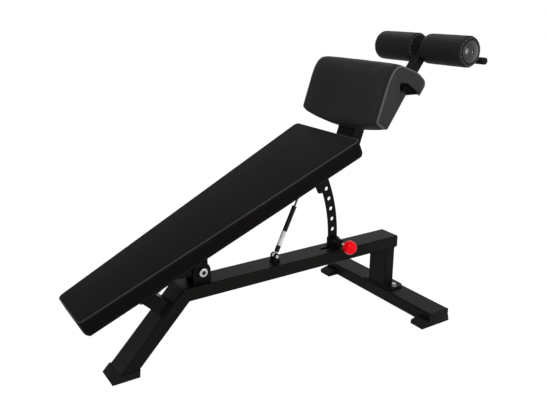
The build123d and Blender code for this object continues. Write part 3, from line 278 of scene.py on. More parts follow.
VINYL_GRAIN = ("Pebble grain", 620.0, 0.00022)
WELT_GRAIN = ("Pebble grain", 900.0, 0.0001)
THREAD_TWIST = ("Drawn lines", 900.0, 0.00008)
STEEL_LINES = ("Drawn lines", 240.0, 0.00001)
RUBBER_SKIN = ("Orange peel", 1500.0, 0.00012)
FINISHES = {
    "Upholstery vinyl": Finish("vinyl", 0.5, *VINYL_GRAIN, gloss=0.01),
    # Knee and panel vinyl: lighter copies of the back pad's vinyl, as painted light
    "Knee vinyl": Finish("knee", 0.5, *VINYL_GRAIN, gloss=0.01),
    # Roller vinyl: a lighter copy of the back pad's vinyl, as painted light
    "Roller vinyl": Finish("roller", 0.5, *VINYL_GRAIN, gloss=0.02),
    # Boxing vinyl: a darker copy of the vinyl, as painted shade on the side band
    "Boxing vinyl": Finish("boxing", 0.5, *VINYL_GRAIN, gloss=0.03),
    "Panel vinyl": Finish("panel", 0.5, *VINYL_GRAIN, gloss=0.1),
    # Welt vinyl: lightened, as a painted highlight on the rounded edge
    "Welt vinyl": Finish("welt", 0.4, *WELT_GRAIN, gloss=0.05),
    # Knee welt vinyl: lightened, as a painted highlight on the rounded edges
    "Knee welt vinyl": Finish("knee_welt", 0.35, *WELT_GRAIN, gloss=0.12),
    "Sewing thread": Finish("thread", 0.7, *THREAD_TWIST, gloss=0.05),
    "Roller thread": Finish("roller_thread", 0.7, *THREAD_TWIST, gloss=0.1),
    "Satin powder coat": Finish("paint", 0.4, "Orange peel", 520.0, 0.00009, gloss=0.04),
    "Strut lacquer": Finish("paint", 0.22, "Orange peel", 300.0, 0.00002, gloss=0.18),
    "Dark rod steel": Finish("rod", 0.3, *STEEL_LINES, spread=0.12, metal=1.0),
    "Moulded rubber": Finish("rubber", 0.68, *RUBBER_SKIN, gloss=0.05),
    # Bumper rubber: a darker copy of the rubber, as painted shade
    "Bumper rubber": Finish("bumper", 0.75, *RUBBER_SKIN, gloss=0.05),
    "Black plastic": Finish("plastic", 0.5, "Orange peel", 1100.0, 0.00005, gloss=0.15),
    "Cap plastic": Finish("cap", 0.21, "Orange peel", 700.0, 0.00001, spread=0.12, rough_spread=0.02),
    "Knob plastic": Finish("knob", 0.2, "Orange peel", 60.0, 0.000005, 0.06, spread=0.04, rough_spread=0.03),
    "Bright steel": Finish("steel", 0.2, *STEEL_LINES, spread=0.12, metal=1.0),
    "Label paper": Finish("label", 0.4, "Orange peel", 400.0, 0.00001, spread=0.03),
    "Dust cloth": Finish("cloth", 0.9, "Pebble grain", 1400.0, 0.0001, gloss=0.2),
    # Stained board: stained wood darkened to near black, as painted shade where its end shows in the recess
    "Stained board": Finish("board", 0.6, "Wood figure", 60.0, 0.00006, gloss=0.02),
}
FINISH_OF_SLOT = {
    "frame_paint": "Satin powder coat", "bright_steel": "Bright steel", "plain_steel": "Bright steel",
    "strut_paint": "Strut lacquer", "vinyl": "Upholstery vinyl", "roller_vinyl": "Roller vinyl",
    "plywood": "Stained board", "boot_rubber": "Moulded rubber", "grip_rubber": "Moulded rubber",
    "black_plastic": "Black plastic", "cap_plastic": "Cap plastic", "knob_plastic": "Knob plastic",
}
# The stop bumper takes the darker rubber, as painted shade
FINISH_OF_NODE = {"strut_rod": "Dark rod steel", "stop_bumper": "Bumper rubber"}


def finish(name):
    """Material of a finish, whose colour, roughness and bump follow its effect."""
    made = bpy.data.materials.get(name)
    if made:
        return made
    wanted = FINISHES[name]
    made = bpy.data.materials.new(name)
    made.use_nodes = True
    tree = made.node_tree
    shader = tree.nodes["Principled BSDF"]
    shader.inputs["Specular IOR Level"].default_value = wanted.gloss
    shader.inputs["Metallic"].default_value = wanted.metal
    spot = tree.nodes.new("ShaderNodeTexCoord")
    pattern = tree.nodes.new("ShaderNodeGroup")
    pattern.node_tree = effect(wanted.effect)
    pattern.inputs["Scale"].default_value = wanted.scale
    tree.links.new(spot.outputs["Object"], pattern.inputs["Vector"])
    base = getattr(bpy.context.scene.bench_colours, wanted.colour)
    tint = tree.nodes.new("ShaderNodeMix")
    tint.data_type = "RGBA"
    tint.inputs["A"].default_value = (*[part * (1 - wanted.spread) for part in base], 1)
    tint.inputs["B"].default_value = (*[min(part * (1 + wanted.spread), 1) for part in base], 1)
    tree.links.new(pattern.outputs["Tone"], tint.inputs["Factor"])
    tree.links.new(tint.outputs["Result"], shader.inputs["Base Color"])
    sheen = tree.nodes.new("ShaderNodeMapRange")
    sheen.inputs["To Min"].default_value = max(wanted.rough - wanted.rough_spread, 0.02)
    sheen.inputs["To Max"].default_value = min(wanted.rough + wanted.rough_spread, 1.0)
    tree.links.new(pattern.outputs["Tone"], sheen.inputs["Value"])
    tree.links.new(sheen.outputs["Result"], shader.inputs["Roughness"])
    relief = tree.nodes.new("ShaderNodeBump")
    relief.inputs["Strength"].default_value = 1.0
    relief.inputs["Distance"].default_value = wanted.bump
    tree.links.new(pattern.outputs["Height"], relief.inputs["Height"])
    tree.links.new(relief.outputs["Normal"], shader.inputs["Normal"])
    return made


def finish_of(node):
    """Finish of a CAD node: its own, or that of its slot."""
    return finish(FINISH_OF_NODE.get(node, FINISH_OF_SLOT[SLOT_OF[node]]))


# Mesh helpers
SAME_PLACE = 1e-6
NO_AREA = 1e-12


def add_object(name, data):
    """New object in the scene."""
    made = bpy.data.objects.new(name, data)
    bpy.context.scene.collection.objects.link(made)
    return made


def new_piece(name, verts, faces, materials, sharp=None):
    """Mesh object at the origin, smooth, with edges sharper than an angle kept."""
    mesh = bpy.data.meshes.new(name)
    mesh.from_pydata([tuple(v) for v in verts], [], faces)
    mesh.update()
    piece = add_object(name, mesh)
    for material in materials:
        mesh.materials.append(material)
    smooth(piece, sharp)
    return piece


def smooth(piece, sharp=None):
    """Smooth shading, broken at edges sharper than an angle in degrees."""
    piece.data.shade_smooth()
    if sharp is not None:
        piece.data.set_sharp_from_angle(angle=math.radians(sharp))


@contextmanager
def editing(piece):
    """Shape of a piece's mesh, written back after the edit."""
    shape = bmesh.new()
    shape.from_mesh(piece.data)
    yield shape
    shape.to_mesh(piece.data)
    shape.free()


def outward(piece, drop_flat=False):
    """Close doubles, drop faces without area if asked, and point all faces outwards."""
    with editing(piece) as shape:
        bmesh.ops.remove_doubles(shape, verts=shape.verts, dist=SAME_PLACE)
        if drop_flat:
            flat = [face for face in shape.faces if face.calc_area() < NO_AREA]
            bmesh.ops.delete(shape, geom=flat, context="FACES_ONLY")
        bmesh.ops.recalc_face_normals(shape, faces=shape.faces)


def realise(piece):
    """Bake a piece's modifiers into a plain mesh."""
    bpy.context.view_layer.update()
    baked = bpy.data.meshes.new_from_object(piece.evaluated_get(bpy.context.evaluated_depsgraph_get()))
    piece.modifiers.clear()
    old = piece.data
    piece.data = baked
    baked.name = piece.name
    if old.users == 0 and isinstance(old, bpy.types.Mesh):
        bpy.data.meshes.remove(old)
    return piece


def place(piece, body, slot, *nodes):
    """Let a piece ride on its body and stand for CAD nodes, which are hidden; the slot is not used."""
    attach(piece, body)
    if nodes:
        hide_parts(*nodes)
    return piece


def lathe(name, profile, origin, axis, coat, steps=64, sharp=35):
    """Closed solid of revolution from points (distance along the axis, radius) of a closed outline."""
    axis = Vector(axis).normalized()
    side = axis.orthogonal().normalized()
    other = axis.cross(side)
    verts = []
    for step in range(steps):
        turn = 2 * math.pi * step / steps
        spoke = side * math.cos(turn) + other * math.sin(turn)
        verts += [Vector(origin) + axis * along + spoke * radius for along, radius in profile]
    count = len(profile)
    faces = []
    for step in range(steps):
        here, there = step * count, (step + 1) % steps * count
        for index in range(count):
            following = (index + 1) % count
            faces.append((here + index, here + following, there + following, there + index))
    piece = new_piece(name, verts, faces, [finish(coat)], sharp)
    outward(piece, drop_flat=True)
    smooth(piece, sharp)
    return piece


def tube_along(name, points, radius, coat, closed=True, steps=3):
    """Round tube along a smooth path."""
    line = bpy.data.curves.new(name, "CURVE")
    line.dimensions = "3D"
    line.bevel_depth = radius
    line.bevel_resolution = steps
    spline = line.splines.new("POLY")
    spline.points.add(len(points) - 1)
    for point, at in zip(spline.points, points):
        point.co = (*at, 1)
    spline.use_cyclic_u = closed
    carrier = add_object(name + "_path", line)
    bpy.context.view_layer.update()
    mesh = bpy.data.meshes.new_from_object(carrier.evaluated_get(bpy.context.evaluated_depsgraph_get()))
    bpy.data.objects.remove(carrier)
    bpy.data.curves.remove(line)
    mesh.materials.clear()
    mesh.materials.append(finish(coat))
    piece = add_object(name, mesh)
    smooth(piece)
    return piece


# Rows of like things along paths
BALL, BLOCK = "GeometryNodeMeshUVSphere", "GeometryNodeMeshCube"
THREAD = 0.0013
ROW_SIZES = {"Pitch": 0.006, "Length": 0.004, "Width": 0.001, "Height": 0.001}


def row_tree(name, shape):
    """Node tree that sets one small shape after another along the edges of a mesh."""
    found = bpy.data.node_groups.get(name)
    if found:
        return found
    tree = bpy.data.node_groups.new(name, "GeometryNodeTree")
    sockets = tree.interface
    sockets.new_socket(name="Geometry", in_out="INPUT", socket_type="NodeSocketGeometry")
    for label, value in ROW_SIZES.items():
        sockets.new_socket(name=label, in_out="INPUT", socket_type="NodeSocketFloat").default_value = value
    sockets.new_socket(name="Material", in_out="INPUT", socket_type="NodeSocketMaterial")
    sockets.new_socket(name="Geometry", in_out="OUTPUT", socket_type="NodeSocketGeometry")
    given, out, curve, spaced, tangent, turn, one, scale, sized, many, real, coat = [
        tree.nodes.new(kind) for kind in (
            "NodeGroupInput", "NodeGroupOutput", "GeometryNodeMeshToCurve", "GeometryNodeResampleCurve",
            "GeometryNodeInputTangent", "FunctionNodeAlignRotationToVector", shape, "ShaderNodeCombineXYZ",
            "GeometryNodeTransform", "GeometryNodeInstanceOnPoints", "GeometryNodeRealizeInstances",
            "GeometryNodeSetMaterial")]
    spaced.mode = "LENGTH"
    turn.axis = "X"
    if shape == BALL:
        for label, value in (("Segments", 6), ("Rings", 4), ("Radius", 0.5)):
            one.inputs[label].default_value = value
    for source, output, target, entry in (
            (given, "Geometry", curve, "Mesh"), (curve, "Curve", spaced, "Curve"),
            (given, "Pitch", spaced, "Length"), (tangent, "Tangent", turn, "Vector"),
            (spaced, "Curve", many, "Points"), (turn, "Rotation", many, "Rotation"),
            (given, "Length", scale, "X"), (given, "Width", scale, "Y"), (given, "Height", scale, "Z"),
            (one, "Mesh", sized, "Geometry"), (scale, "Vector", sized, "Scale"),
            (sized, "Geometry", many, "Instance"), (many, "Instances", real, "Geometry"),
            (real, "Geometry", coat, "Geometry"), (given, "Material", coat, "Material"),
            (coat, "Geometry", out, "Geometry")):
        tree.links.new(source.outputs[output], target.inputs[entry])
    return tree


def row_along(name, paths, tree, coat, **values):
    """Piece made of rows of shapes along paths; a path is a list of points and whether it is closed."""
    verts, edges = [], []
    for points, closed in paths:
        start = len(verts)
        verts += [tuple(p) for p in points]
        edges += [(start + i, start + i + 1) for i in range(len(points) - 1)]
        if closed:
            edges.append((start + len(points) - 1, start))
    mesh = bpy.data.meshes.new(name)
    mesh.from_pydata(verts, edges, [])
    piece = add_object(name, mesh)
    row = piece.modifiers.new("Row", "NODES")
    row.node_group = tree
    keys = {item.name: item.identifier for item in tree.interface.items_tree if item.in_out == "INPUT"}
    for label, value in values.items():
        row[keys[label]] = value
    row[keys["Material"]] = finish(coat)
    realise(piece)
    smooth(piece)
    return piece


def stitches(name, paths):
    """Row of stitches along paths."""
    size = sizes()
    return row_along(name, paths, row_tree("Stitch row", BALL), "Sewing thread",
                     Pitch=size.stitch_pitch, Length=size.stitch, Width=THREAD, Height=THREAD)


# Cushions
CLOTH = {"use_pressure": True, "uniform_pressure_force": 3.0, "quality": 6, "tension_stiffness": 30,
         "compression_stiffness": 30, "shear_stiffness": 12, "bending_stiffness": 2}
CLOTH_FRAMES = 20


def swell(piece, held, cap):
    """Fill a cushion's cover by cloth simulation, with some points held, and keep it within a cap."""
    count = len(piece.data.vertices)
    before = np.zeros(count * 3)
    piece.data.vertices.foreach_get("co", before)
    piece.vertex_groups.new(name="held").add(held, 1.0, "REPLACE")
    cloth = piece.modifiers.new("Cloth", "CLOTH")
    for setting, value in CLOTH.items():
        setattr(cloth.settings, setting, value)
    cloth.settings.effector_weights.gravity = 0
    cloth.settings.vertex_group_mass = "held"
    cloth.collision_settings.use_collision = False
    cloth.point_cache.frame_start = 1
    cloth.point_cache.frame_end = CLOTH_FRAMES
    scene = bpy.context.scene
    for step in range(1, CLOTH_FRAMES + 1):
        scene.frame_set(step)
    filled = piece.evaluated_get(bpy.context.evaluated_depsgraph_get())
    after = np.zeros(count * 3)
    filled.to_mesh().vertices.foreach_get("co", after)
    filled.to_mesh_clear()
    piece.modifiers.clear()
    piece.vertex_groups.clear()
    scene.frame_set(1)
    move = (after - before).reshape(-1, 3)
    reach = np.linalg.norm(move, axis=1, keepdims=True)
    move *= np.minimum(1.0, cap / np.maximum(reach, 1e-9))
    piece.data.vertices.foreach_set("co", (before.reshape(-1, 3) + move).ravel())
    piece.data.update()


def subdivide(piece):
    """One level of subdivision, baked."""
    level = piece.modifiers.new("Smooth", "SUBSURF")
    level.levels = 1
    level.render_levels = 1
    realise(piece)
    smooth(piece)


# Back pad: a grid over its top, rings down its sides and a turned-in hem under its board
PAD_LOW, PAD_HIGH = -0.431, 0.678
PAD_HALF_LOW, PAD_HALF_HIGH = 0.112, 0.196
PAD_CORNER = 0.020
PAD_EDGE = RAIL_TOP + 0.064
PAD_CROWN, PAD_CROWN_REACH = 0.006, 0.085
PAD_HEM = 0.04
PAD_FLOOR = RAIL_TOP - 0.0008
PAD_ARC_STEPS, PAD_LONG_STEPS, PAD_WIDE_STEPS = 8, 100, 34


def pad_stations(inset):
    """Places along the pad and half widths there, for an outline drawn in by inset."""
    radius = max(PAD_CORNER - inset, PAD_CORNER / 4)
    low, high = PAD_LOW + inset, PAD_HIGH - inset
    slope = (PAD_HALF_HIGH - PAD_HALF_LOW) / (PAD_HIGH - PAD_LOW)

    def half(u):
        return PAD_HALF_LOW + slope * (u - PAD_LOW) - inset

    stations = []
    for step in range(PAD_ARC_STEPS + 1):
        turn = math.pi / 2 * step / PAD_ARC_STEPS
        u = low + radius * (1 - math.cos(turn))
        stations.append((u, half(u) - radius * (1 - math.sin(turn))))
    for step in range(1, PAD_LONG_STEPS):
        u = low + radius + (high - low - 2 * radius) * step / PAD_LONG_STEPS
        stations.append((u, half(u)))
    for step in range(PAD_ARC_STEPS + 1):
        turn = math.pi / 2 * (1 - step / PAD_ARC_STEPS)
        u = high - radius * (1 - math.cos(turn))
        stations.append((u, half(u) - radius * (1 - math.sin(turn))))
    return stations


def pad_rim():
    """Row and column of each point round the edge of the pad's grid."""
    last, wide = PAD_LONG_STEPS + 2 * PAD_ARC_STEPS, PAD_WIDE_STEPS
    rim = [(i, 0) for i in range(last)] + [(last, j) for j in range(wide)]
    return rim + [(i, wide) for i in range(last, 0, -1)] + [(0, j) for j in range(wide, 0, -1)]


def pad_ring(inset, height):
    """Points round the pad at an inset and a height."""
    stations = pad_stations(inset)
    return [on_rails(stations[i][0], (2 * j / PAD_WIDE_STEPS - 1) * stations[i][1], height)
            for i, j in pad_rim()]


def pad_top_height(u, y, half):
    """Height of the crowned top."""
    edge = min(half - abs(y), u - PAD_LOW, PAD_HIGH - u)
    rise = 1 - (1 - min(max(edge, 0) / PAD_CROWN_REACH, 1)) ** 2.2
    return PAD_EDGE + 0.0008 + (PAD_CROWN - 0.0012) * rise


def back_pad_cover():
    """Sewn cover of the back pad, and its points that stay in place while it swells."""
    stations = pad_stations(0.0065)
    wide, last = PAD_WIDE_STEPS, len(stations) - 1
    verts = []
    for u, half in stations:
        for j in range(wide + 1):
            y = (2 * j / wide - 1) * half
            verts.append(on_rails(u, y, pad_top_height(u, y, half)))
    faces = []
    for i in range(last):
        for j in range(wide):
            a = i * (wide + 1) + j
            faces.append((a, a + wide + 1, a + wide + 2, a + 1))
    rim = [i * (wide + 1) + j for i, j in pad_rim()]
    count = len(rim)
    levels = [(0.0035, PAD_EDGE - 0.0012), (0.0018, PAD_EDGE - 0.006), (0.0008, PAD_EDGE - 0.014),
              (0.0002, PAD_EDGE - 0.026), (0.0, PAD_EDGE - 0.040), (0.0008, RAIL_TOP + 0.014),
              (0.0026, RAIL_TOP + 0.008), (0.0056, RAIL_TOP + 0.0034), (0.0098, RAIL_TOP + 0.0006),
              (0.016, PAD_FLOOR), (PAD_HEM, PAD_FLOOR)]
    ring_before = rim
    held = list(rim)
    side_start = len(faces)
    for inset, height in levels:
        start = len(verts)
        verts += pad_ring(inset, height)
        ring = list(range(start, start + count))
        for k in range(count):
            n = (k + 1) % count
            faces.append((ring_before[k], ring[k], ring[n], ring_before[n]))
        if height < RAIL_TOP + 0.01 or height > PAD_EDGE - 0.02:
            held += ring
        ring_before = ring
    place_of = dict(zip(pad_rim(), ring_before))
    stations = pad_stations(PAD_HEM)
    for i in range(1, last):
        for j in range(1, wide):
            place_of[i, j] = len(verts)
            held.append(len(verts))
            verts.append(on_rails(stations[i][0], (2 * j / wide - 1) * stations[i][1], PAD_FLOOR))
    cloth_start = len(faces)
    for i in range(last):
        for j in range(wide):
            faces.append((place_of[i, j], place_of[i, j + 1], place_of[i + 1, j + 1], place_of[i + 1, j]))
    # The side band takes the boxing vinyl, darkened as painted shade
    coats = [finish(coat) for coat in ("Upholstery vinyl", "Boxing vinyl", "Dust cloth")]
    cover = new_piece("back_pad_cover", verts, faces, coats)
    for index, face in enumerate(cover.data.polygons):
        face.material_index = 2 if index >= cloth_start else 1 if index >= side_start + 2 * count else 0
    outward(cover)
    return cover, held


def make_back_pad():
    """Back pad with welt, stitching and a stapled dust cloth underneath."""
    size = sizes()
    cover, held = back_pad_cover()
    swell(cover, held, size.swell)
    subdivide(cover)
    place(cover, "tilt_frame", "vinyl", "back_pad")
    # The welt's lighter colour is a painted highlight along the pad's edge
    welt = tube_along("back_pad_welt", pad_ring(0.0034, PAD_EDGE), size.piping, "Welt vinyl")
    place(welt, "tilt_frame", "vinyl")
    seam = stitches("back_pad_stitches", [(pad_ring(0.0009, PAD_EDGE - 0.0085), True)])
    place(seam, "tilt_frame", "vinyl")
    hem = row_along("back_pad_staples", [(pad_ring(0.027, RAIL_TOP - 0.0012), True)],
                    row_tree("Staple row", BLOCK), "Bright steel",
                    Pitch=0.036, Length=0.011, Width=0.0013, Height=0.0009)
    place(hem, "tilt_frame", "bright_steel")


# Knee pad: hooked sections across the bench
KNEE_HALF = 0.222
KNEE_CHANNEL = 0.0525
KNEE_FRONT, KNEE_TOP, KNEE_BEND = -0.064, 0.293, 0.082
KNEE_END, KNEE_END_TOP, KNEE_END_LOW = 0.112, 0.277, 0.218
KNEE_CORNER_BOTTOM, KNEE_SAG = 0.070, 0.024
KNEE_BACK, KNEE_BACK_SLOPE = -0.004, 0.28
KNEE_SEAT = 0.205
KNEE_SEAT_GAP = -0.0004
KNEE_ARCH = ((0.072, 0.2313), (0.025, 0.2423), (-0.012, 0.2343))
KNEE_PANEL_STRIPS = 3


def knee_bottom(y):
    """Height of the pad's lower edge, lowest at the middle."""
    return KNEE_CORNER_BOTTOM - KNEE_SAG * (1 - (y / KNEE_HALF) ** 2)


def knee_rear(y, z):
    """Place of the pad's back: sloping, with a channel for the upright."""
    if abs(y) < KNEE_CHANNEL + 0.001:
        return KNEE_SEAT_GAP
    return KNEE_BACK_SLOPE * (z - KNEE_CORNER_BOTTOM) + KNEE_BACK


def bow(start, middle, end, count):
    """Points of a smooth bow from start to end through a middle control point, without the last."""
    points = []
    for step in range(count):
        t = step / count
        points.append(tuple((1 - t) ** 2 * a + 2 * t * (1 - t) * m + t * t * b
                            for a, m, b in zip(start, middle, end)))
    return points


def run(start, end, count):
    """Points of a straight run without the last."""
    return [tuple(a + (b - a) * step / count for a, b in zip(start, end)) for step in range(count)]


def knee_section(y, grow):
    """Closed hooked outline at y, its outer faces moved out by grow, from lower edge to seat."""
    front, top, bottom = KNEE_FRONT - grow, KNEE_TOP + grow, knee_bottom(y) - grow
    end, end_top, end_low, bend = KNEE_END + grow, KNEE_END_TOP + grow, KNEE_END_LOW, KNEE_BEND
    heel = knee_bottom(y) - max(grow, 0) - 0.004
    foot = (knee_rear(y, heel), heel)
    back = (knee_rear(y, KNEE_SEAT), KNEE_SEAT)
    rear_low = (0.101 + grow * 0.5, end_low + 0.004)
    seat = (KNEE_SEAT_GAP, KNEE_SEAT)
    outline = run(foot, (front + 0.010, bottom), 6)
    outline += bow((front + 0.010, bottom), (front, bottom + 0.001), (front, bottom + 0.012), 4)
    outline += run((front, bottom + 0.012), (front, top - bend), 14)
    outline += bow((front, top - bend), (front + 0.001, top - 0.002), (front + bend * 0.52, top), 14)
    outline += run((front + bend * 0.52, top), (0.036, top), 6)
    outline += bow((0.036, top), (0.062, top), (end - 0.020, end_top + 0.0045), 6)
    outline += bow((end - 0.020, end_top + 0.0045), (end, end_top), (end, end_top - 0.020), 7)
    outline += run((end, end_top - 0.020), rear_low, 4)
    outline += bow(rear_low, (0.0985, end_low - 0.001), (0.092, end_low + 0.003), 4)
    outline += run((0.092, end_low + 0.003), KNEE_ARCH[0], 3) + run(KNEE_ARCH[0], KNEE_ARCH[1], 5)
    outline += run(KNEE_ARCH[1], KNEE_ARCH[2], 4) + run(KNEE_ARCH[2], seat, 4)
    outline += run(seat, back, 3) + run(back, foot, 14)
    return outline


KNEE_OUTER_POINTS = 6 + 4 + 14 + 14 + 6 + 6 + 7 + 4 + 4


def knee_stations():
    """Place across the bench and growth of each section."""
    half = KNEE_HALF
    side = [(half, -0.0095), (half - 0.0008, -0.0078), (half - 0.0022, -0.0058), (half - 0.0045, -0.0038),
            (half - 0.008, -0.0022), (half - 0.013, -0.001)]
    for y in (0.196, 0.180, 0.162, 0.144, 0.126, 0.108, 0.090, 0.072, 0.058, KNEE_CHANNEL, 0.036, 0.018, 0):
        side.append((y, 0.0012 + 0.0018 * (1 - y / 0.196)))
    return [(-y, grow) for y, grow in side] + [(y, grow) for y, grow in reversed(side[:-1])]


def close_ends(cover, rims):
    """Close each open end with a side panel that keeps to its hooked outline."""
    with editing(cover) as shape:
        shape.verts.ensure_lookup_table()
        crease = shape.edges.layers.float.new("crease_edge")
        for rim in rims:
            panel = shape.faces.new([shape.verts[index] for index in rim])
            panel.material_index = 1
            for edge in panel.edges:
                edge[crease] = 1.0
            bmesh.ops.triangulate(shape, faces=[panel], ngon_method="BEAUTY")


def make_knee_pad():
    """Knee pad hooked over the upright, with welts and stitching along both side panels."""
    size = sizes()
    stations = knee_stations()
    verts, faces, held = [], [], []
    count = len(knee_section(0, 0))
    for y, grow in stations:
        start = len(verts)
        verts += [on_upright(x, y, z) for x, z in knee_section(y, grow)]
        held += [start + k for k in range(KNEE_OUTER_POINTS, count)] + [start]
    for i in range(len(stations) - 1):
        for k in range(count):
            n = (k + 1) % count
            faces.append((i * count + k, i * count + n, (i + 1) * count + n, (i + 1) * count + k))
    last = (len(stations) - 1) * count
    held += list(range(count)) + list(range(last, last + count))
    # The front takes the knee vinyl and the side panels the panel vinyl, both lightened as painted light
    cover = new_piece("knee_pad_cover", verts, faces, [finish("Knee vinyl"), finish("Panel vinyl")])
    strips = len(stations) - 1
    for index, face in enumerate(cover.data.polygons):
        strip = index // count
        face.material_index = 1 if min(strip, strips - 1 - strip) < KNEE_PANEL_STRIPS else 0
    close_ends(cover, (range(count), range(last, last + count)))
    outward(cover)
    swell(cover, sorted(set(held)), size.swell * 0.8)
    subdivide(cover)
    smooth(cover, 50)
    place(cover, "tilt_frame", "vinyl", "knee_pad")
    for name, side in SIDES:
        y = side * (KNEE_HALF - 0.0026)
        line = [on_upright(x, y, z) for x, z in knee_section(y, -0.0052)[1:KNEE_OUTER_POINTS]]
        # The welt's light colour is a painted highlight on the panel's rounded edge
        welt = tube_along("knee_pad_welt_" + name, line, size.knee_piping, "Knee welt vinyl", closed=False)
        place(welt, "tilt_frame", "vinyl")
        y = side * (KNEE_HALF - 0.0135)
        row = [on_upright(x, y, z) for x, z in knee_section(y, 0.0002)[8:KNEE_OUTER_POINTS - 10]]
        seam = stitches("knee_pad_stitches_" + name, [(row, False)])
        place(seam, "tilt_frame", "vinyl")


# Ankle rollers
ROLLER_RADIUS, ROLLER_INNER, ROLLER_OUTER, ROLLER_ROUND = 0.058, 0.028, 0.234, 0.010
ROLLER_CORE, ROLLER_SEAM, ROLLER_PIPING = 0.0178, 0.0505, 0.0015
CAP_RIM, CAP_RISE = 0.041, 0.013
GATHER_DEPTH, GATHER_PLACE, GATHER_WIDTH = 0.0009, 0.006, 0.008
SLACK = 0.00035


def roller_profile():
    """(place along the axis, radius) of the padded roller, drawn in a little beside each end seam."""
    inner = [(ROLLER_INNER + 0.0008, ROLLER_CORE), (ROLLER_INNER + 0.0008, 0.030),
             (ROLLER_INNER + 0.0004, 0.040), (ROLLER_INNER, ROLLER_RADIUS - ROLLER_ROUND)]
    for step in range(1, 9):
        turn = math.pi / 2 * step / 8
        inner.append((ROLLER_INNER + ROLLER_ROUND * (1 - math.cos(turn)),
                      ROLLER_RADIUS - ROLLER_ROUND * (1 - math.sin(turn))))
    straight = ROLLER_OUTER - ROLLER_INNER - 2 * ROLLER_ROUND
    body = [(ROLLER_INNER + ROLLER_ROUND + straight * t / 14, ROLLER_RADIUS) for t in range(1, 14)]
    outer = [(ROLLER_INNER + ROLLER_OUTER - along, radius) for along, radius in reversed(inner)]
    return inner + body + outer


def ring_round(origin, side, along, radius, count=96):
    """Points of a circle round the rollers' axis."""
    points = []
    for step in range(count):
        turn = 2 * math.pi * step / count
        points.append(origin + Vector((radius * math.cos(turn), side * along, radius * math.sin(turn))))
    return points


def cap_profile():
    """(place along the axis, radius) of the domed end cap with its lip and centre hole."""
    rim, rise, base = CAP_RIM, CAP_RISE, ROLLER_OUTER
    profile = [(base + 0.0002, 0.0045), (base + 0.0002, rim - 0.0006), (base + 0.0008, rim),
               (base + 0.0018, rim), (base + 0.0026, rim - 0.0008), (base + 0.0027, rim - 0.0022),
               (base + 0.0023, rim - 0.0030)]
    for step in range(1, 17):
        radius = (rim - 0.0034) * (1 - step / 16) + 0.0062 * step / 16
        profile.append((base + 0.0024 + (rise - 0.0024) * (1 - (radius / rim) ** 2), radius))
    return profile + [(base + rise - 0.0008, 0.0054), (base + 0.006, 0.0050), (base + 0.004, 0.0045)]


def make_rollers():
    """Both ankle rollers: vinyl over foam, stitched end rings and domed caps with a centre hole."""
    for name, side in SIDES:
        axis = (0, side, 0)
        origin = Vector((ROLLER_AXIS.x, 0, ROLLER_AXIS.z))
        body = "roller_" + name
        # The cover's vinyl is lightened as painted light
        cover = lathe("roller_cover_" + name, roller_profile(), origin, axis, "Roller vinyl", 120, 60)
        pucker(cover, origin, name)
        place(cover, body, "roller_vinyl", "roller_foam_" + name)
        for end, along in (("outer", ROLLER_OUTER - 0.0006), ("inner", ROLLER_INNER + 0.0006)):
            ring = ring_round(origin, side, along, ROLLER_SEAM)
            # The welts take the welt vinyl, whose lighter colour is a painted highlight
            welt = tube_along("roller_welt_%s_%s" % (end, name), ring, ROLLER_PIPING, "Welt vinyl")
            place(welt, body, "roller_vinyl")
        rings = [(ring_round(origin, side, along, ROLLER_SEAM), True)
                 for along in (ROLLER_INNER - 0.0005, ROLLER_OUTER + 0.0005)]
        seam = row_along("roller_stitches_" + name, rings, row_tree("Stitch row", BALL), "Roller thread",
                         Pitch=0.0159, Length=0.0078, Width=0.0034, Height=0.0034)
        place(seam, body, "roller_vinyl")
        cap = lathe("roller_dome_" + name, cap_profile(), origin, axis, "Cap plastic", 72, 42)
        place(cap, body, "cap_plastic", "roller_cap_" + name)
        profile = [(ROLLER_OUTER + along, radius) for along, radius in
                   ((0.0005, 0.0), (0.0005, 0.0039), (0.0088, 0.0039), (0.0100, 0.0028), (0.0104, 0.0))]
        bolt = lathe("roller_cap_bolt_" + name, profile, origin, axis, "Bright steel", 24, 50)
        place(bolt, body, "bright_steel")


def pucker(cover, origin, name):
    """Small gathers of the vinyl towards the roller's sewn ends."""
    for vert in cover.data.vertices:
        offset = vert.co - origin
        along = abs(offset.y)
        turn = math.atan2(offset.z, offset.x)
        radius = math.hypot(offset.x, offset.z)
        if radius < 0.03:
            continue
        near = min(along - ROLLER_INNER, ROLLER_OUTER - along)
        depth = GATHER_DEPTH * math.exp(-((near - GATHER_PLACE) / GATHER_WIDTH) ** 2)
        wave = math.sin(20 * turn + (1.3 if name == "near" else 0.4)) + 0.6 * math.sin(31 * turn + 2.0)
        slack = SLACK * math.sin(2 * turn + along * 23) * math.sin(along * 41)
        shift = (depth * wave + slack) / radius
        vert.co.x -= offset.x * abs(shift)
        vert.co.z -= offset.z * abs(shift)
    cover.data.update()


# Steel frame
WELDED_PLATES = ("pivot_lug_near", "pivot_lug_far", "pin_cheek_near", "pin_cheek_far")
ROUNDED_PLATES = (*WELDED_PLATES, "post_flange", "arc_plate", "arc_mount", "pivot_hangers",
                  "strut_foot_bracket", "strut_head_bracket", "pin_barrel", "flange_bolts", "pivot_nut",
                  "beam_end_cap", "rail_end_caps")
ROUNDED_RUBBER = ("front_boot", "foot_boot_near", "foot_boot_far", "stop_bumper")
CORNER_ANGLE = math.radians(34)
ACROSS_X, ACROSS_Y = (1, 0, 0), (0, 1, 0)
TUBE_DEPTH, RAIL_SIDE = 0.05, 0.05
MOUNT_PLACE, MOUNT_HALF_LENGTH, MOUNT_HALF_HEIGHT = 0.588, 0.031, 0.004
ARM_ROOT, ARM_HALF, ARM_CUT_HALF = 0.156, 0.02, 0.0215
ROLLER_BAR, STEM_HALF, STEM_WELD = 0.0125, 0.0125, 0.0085


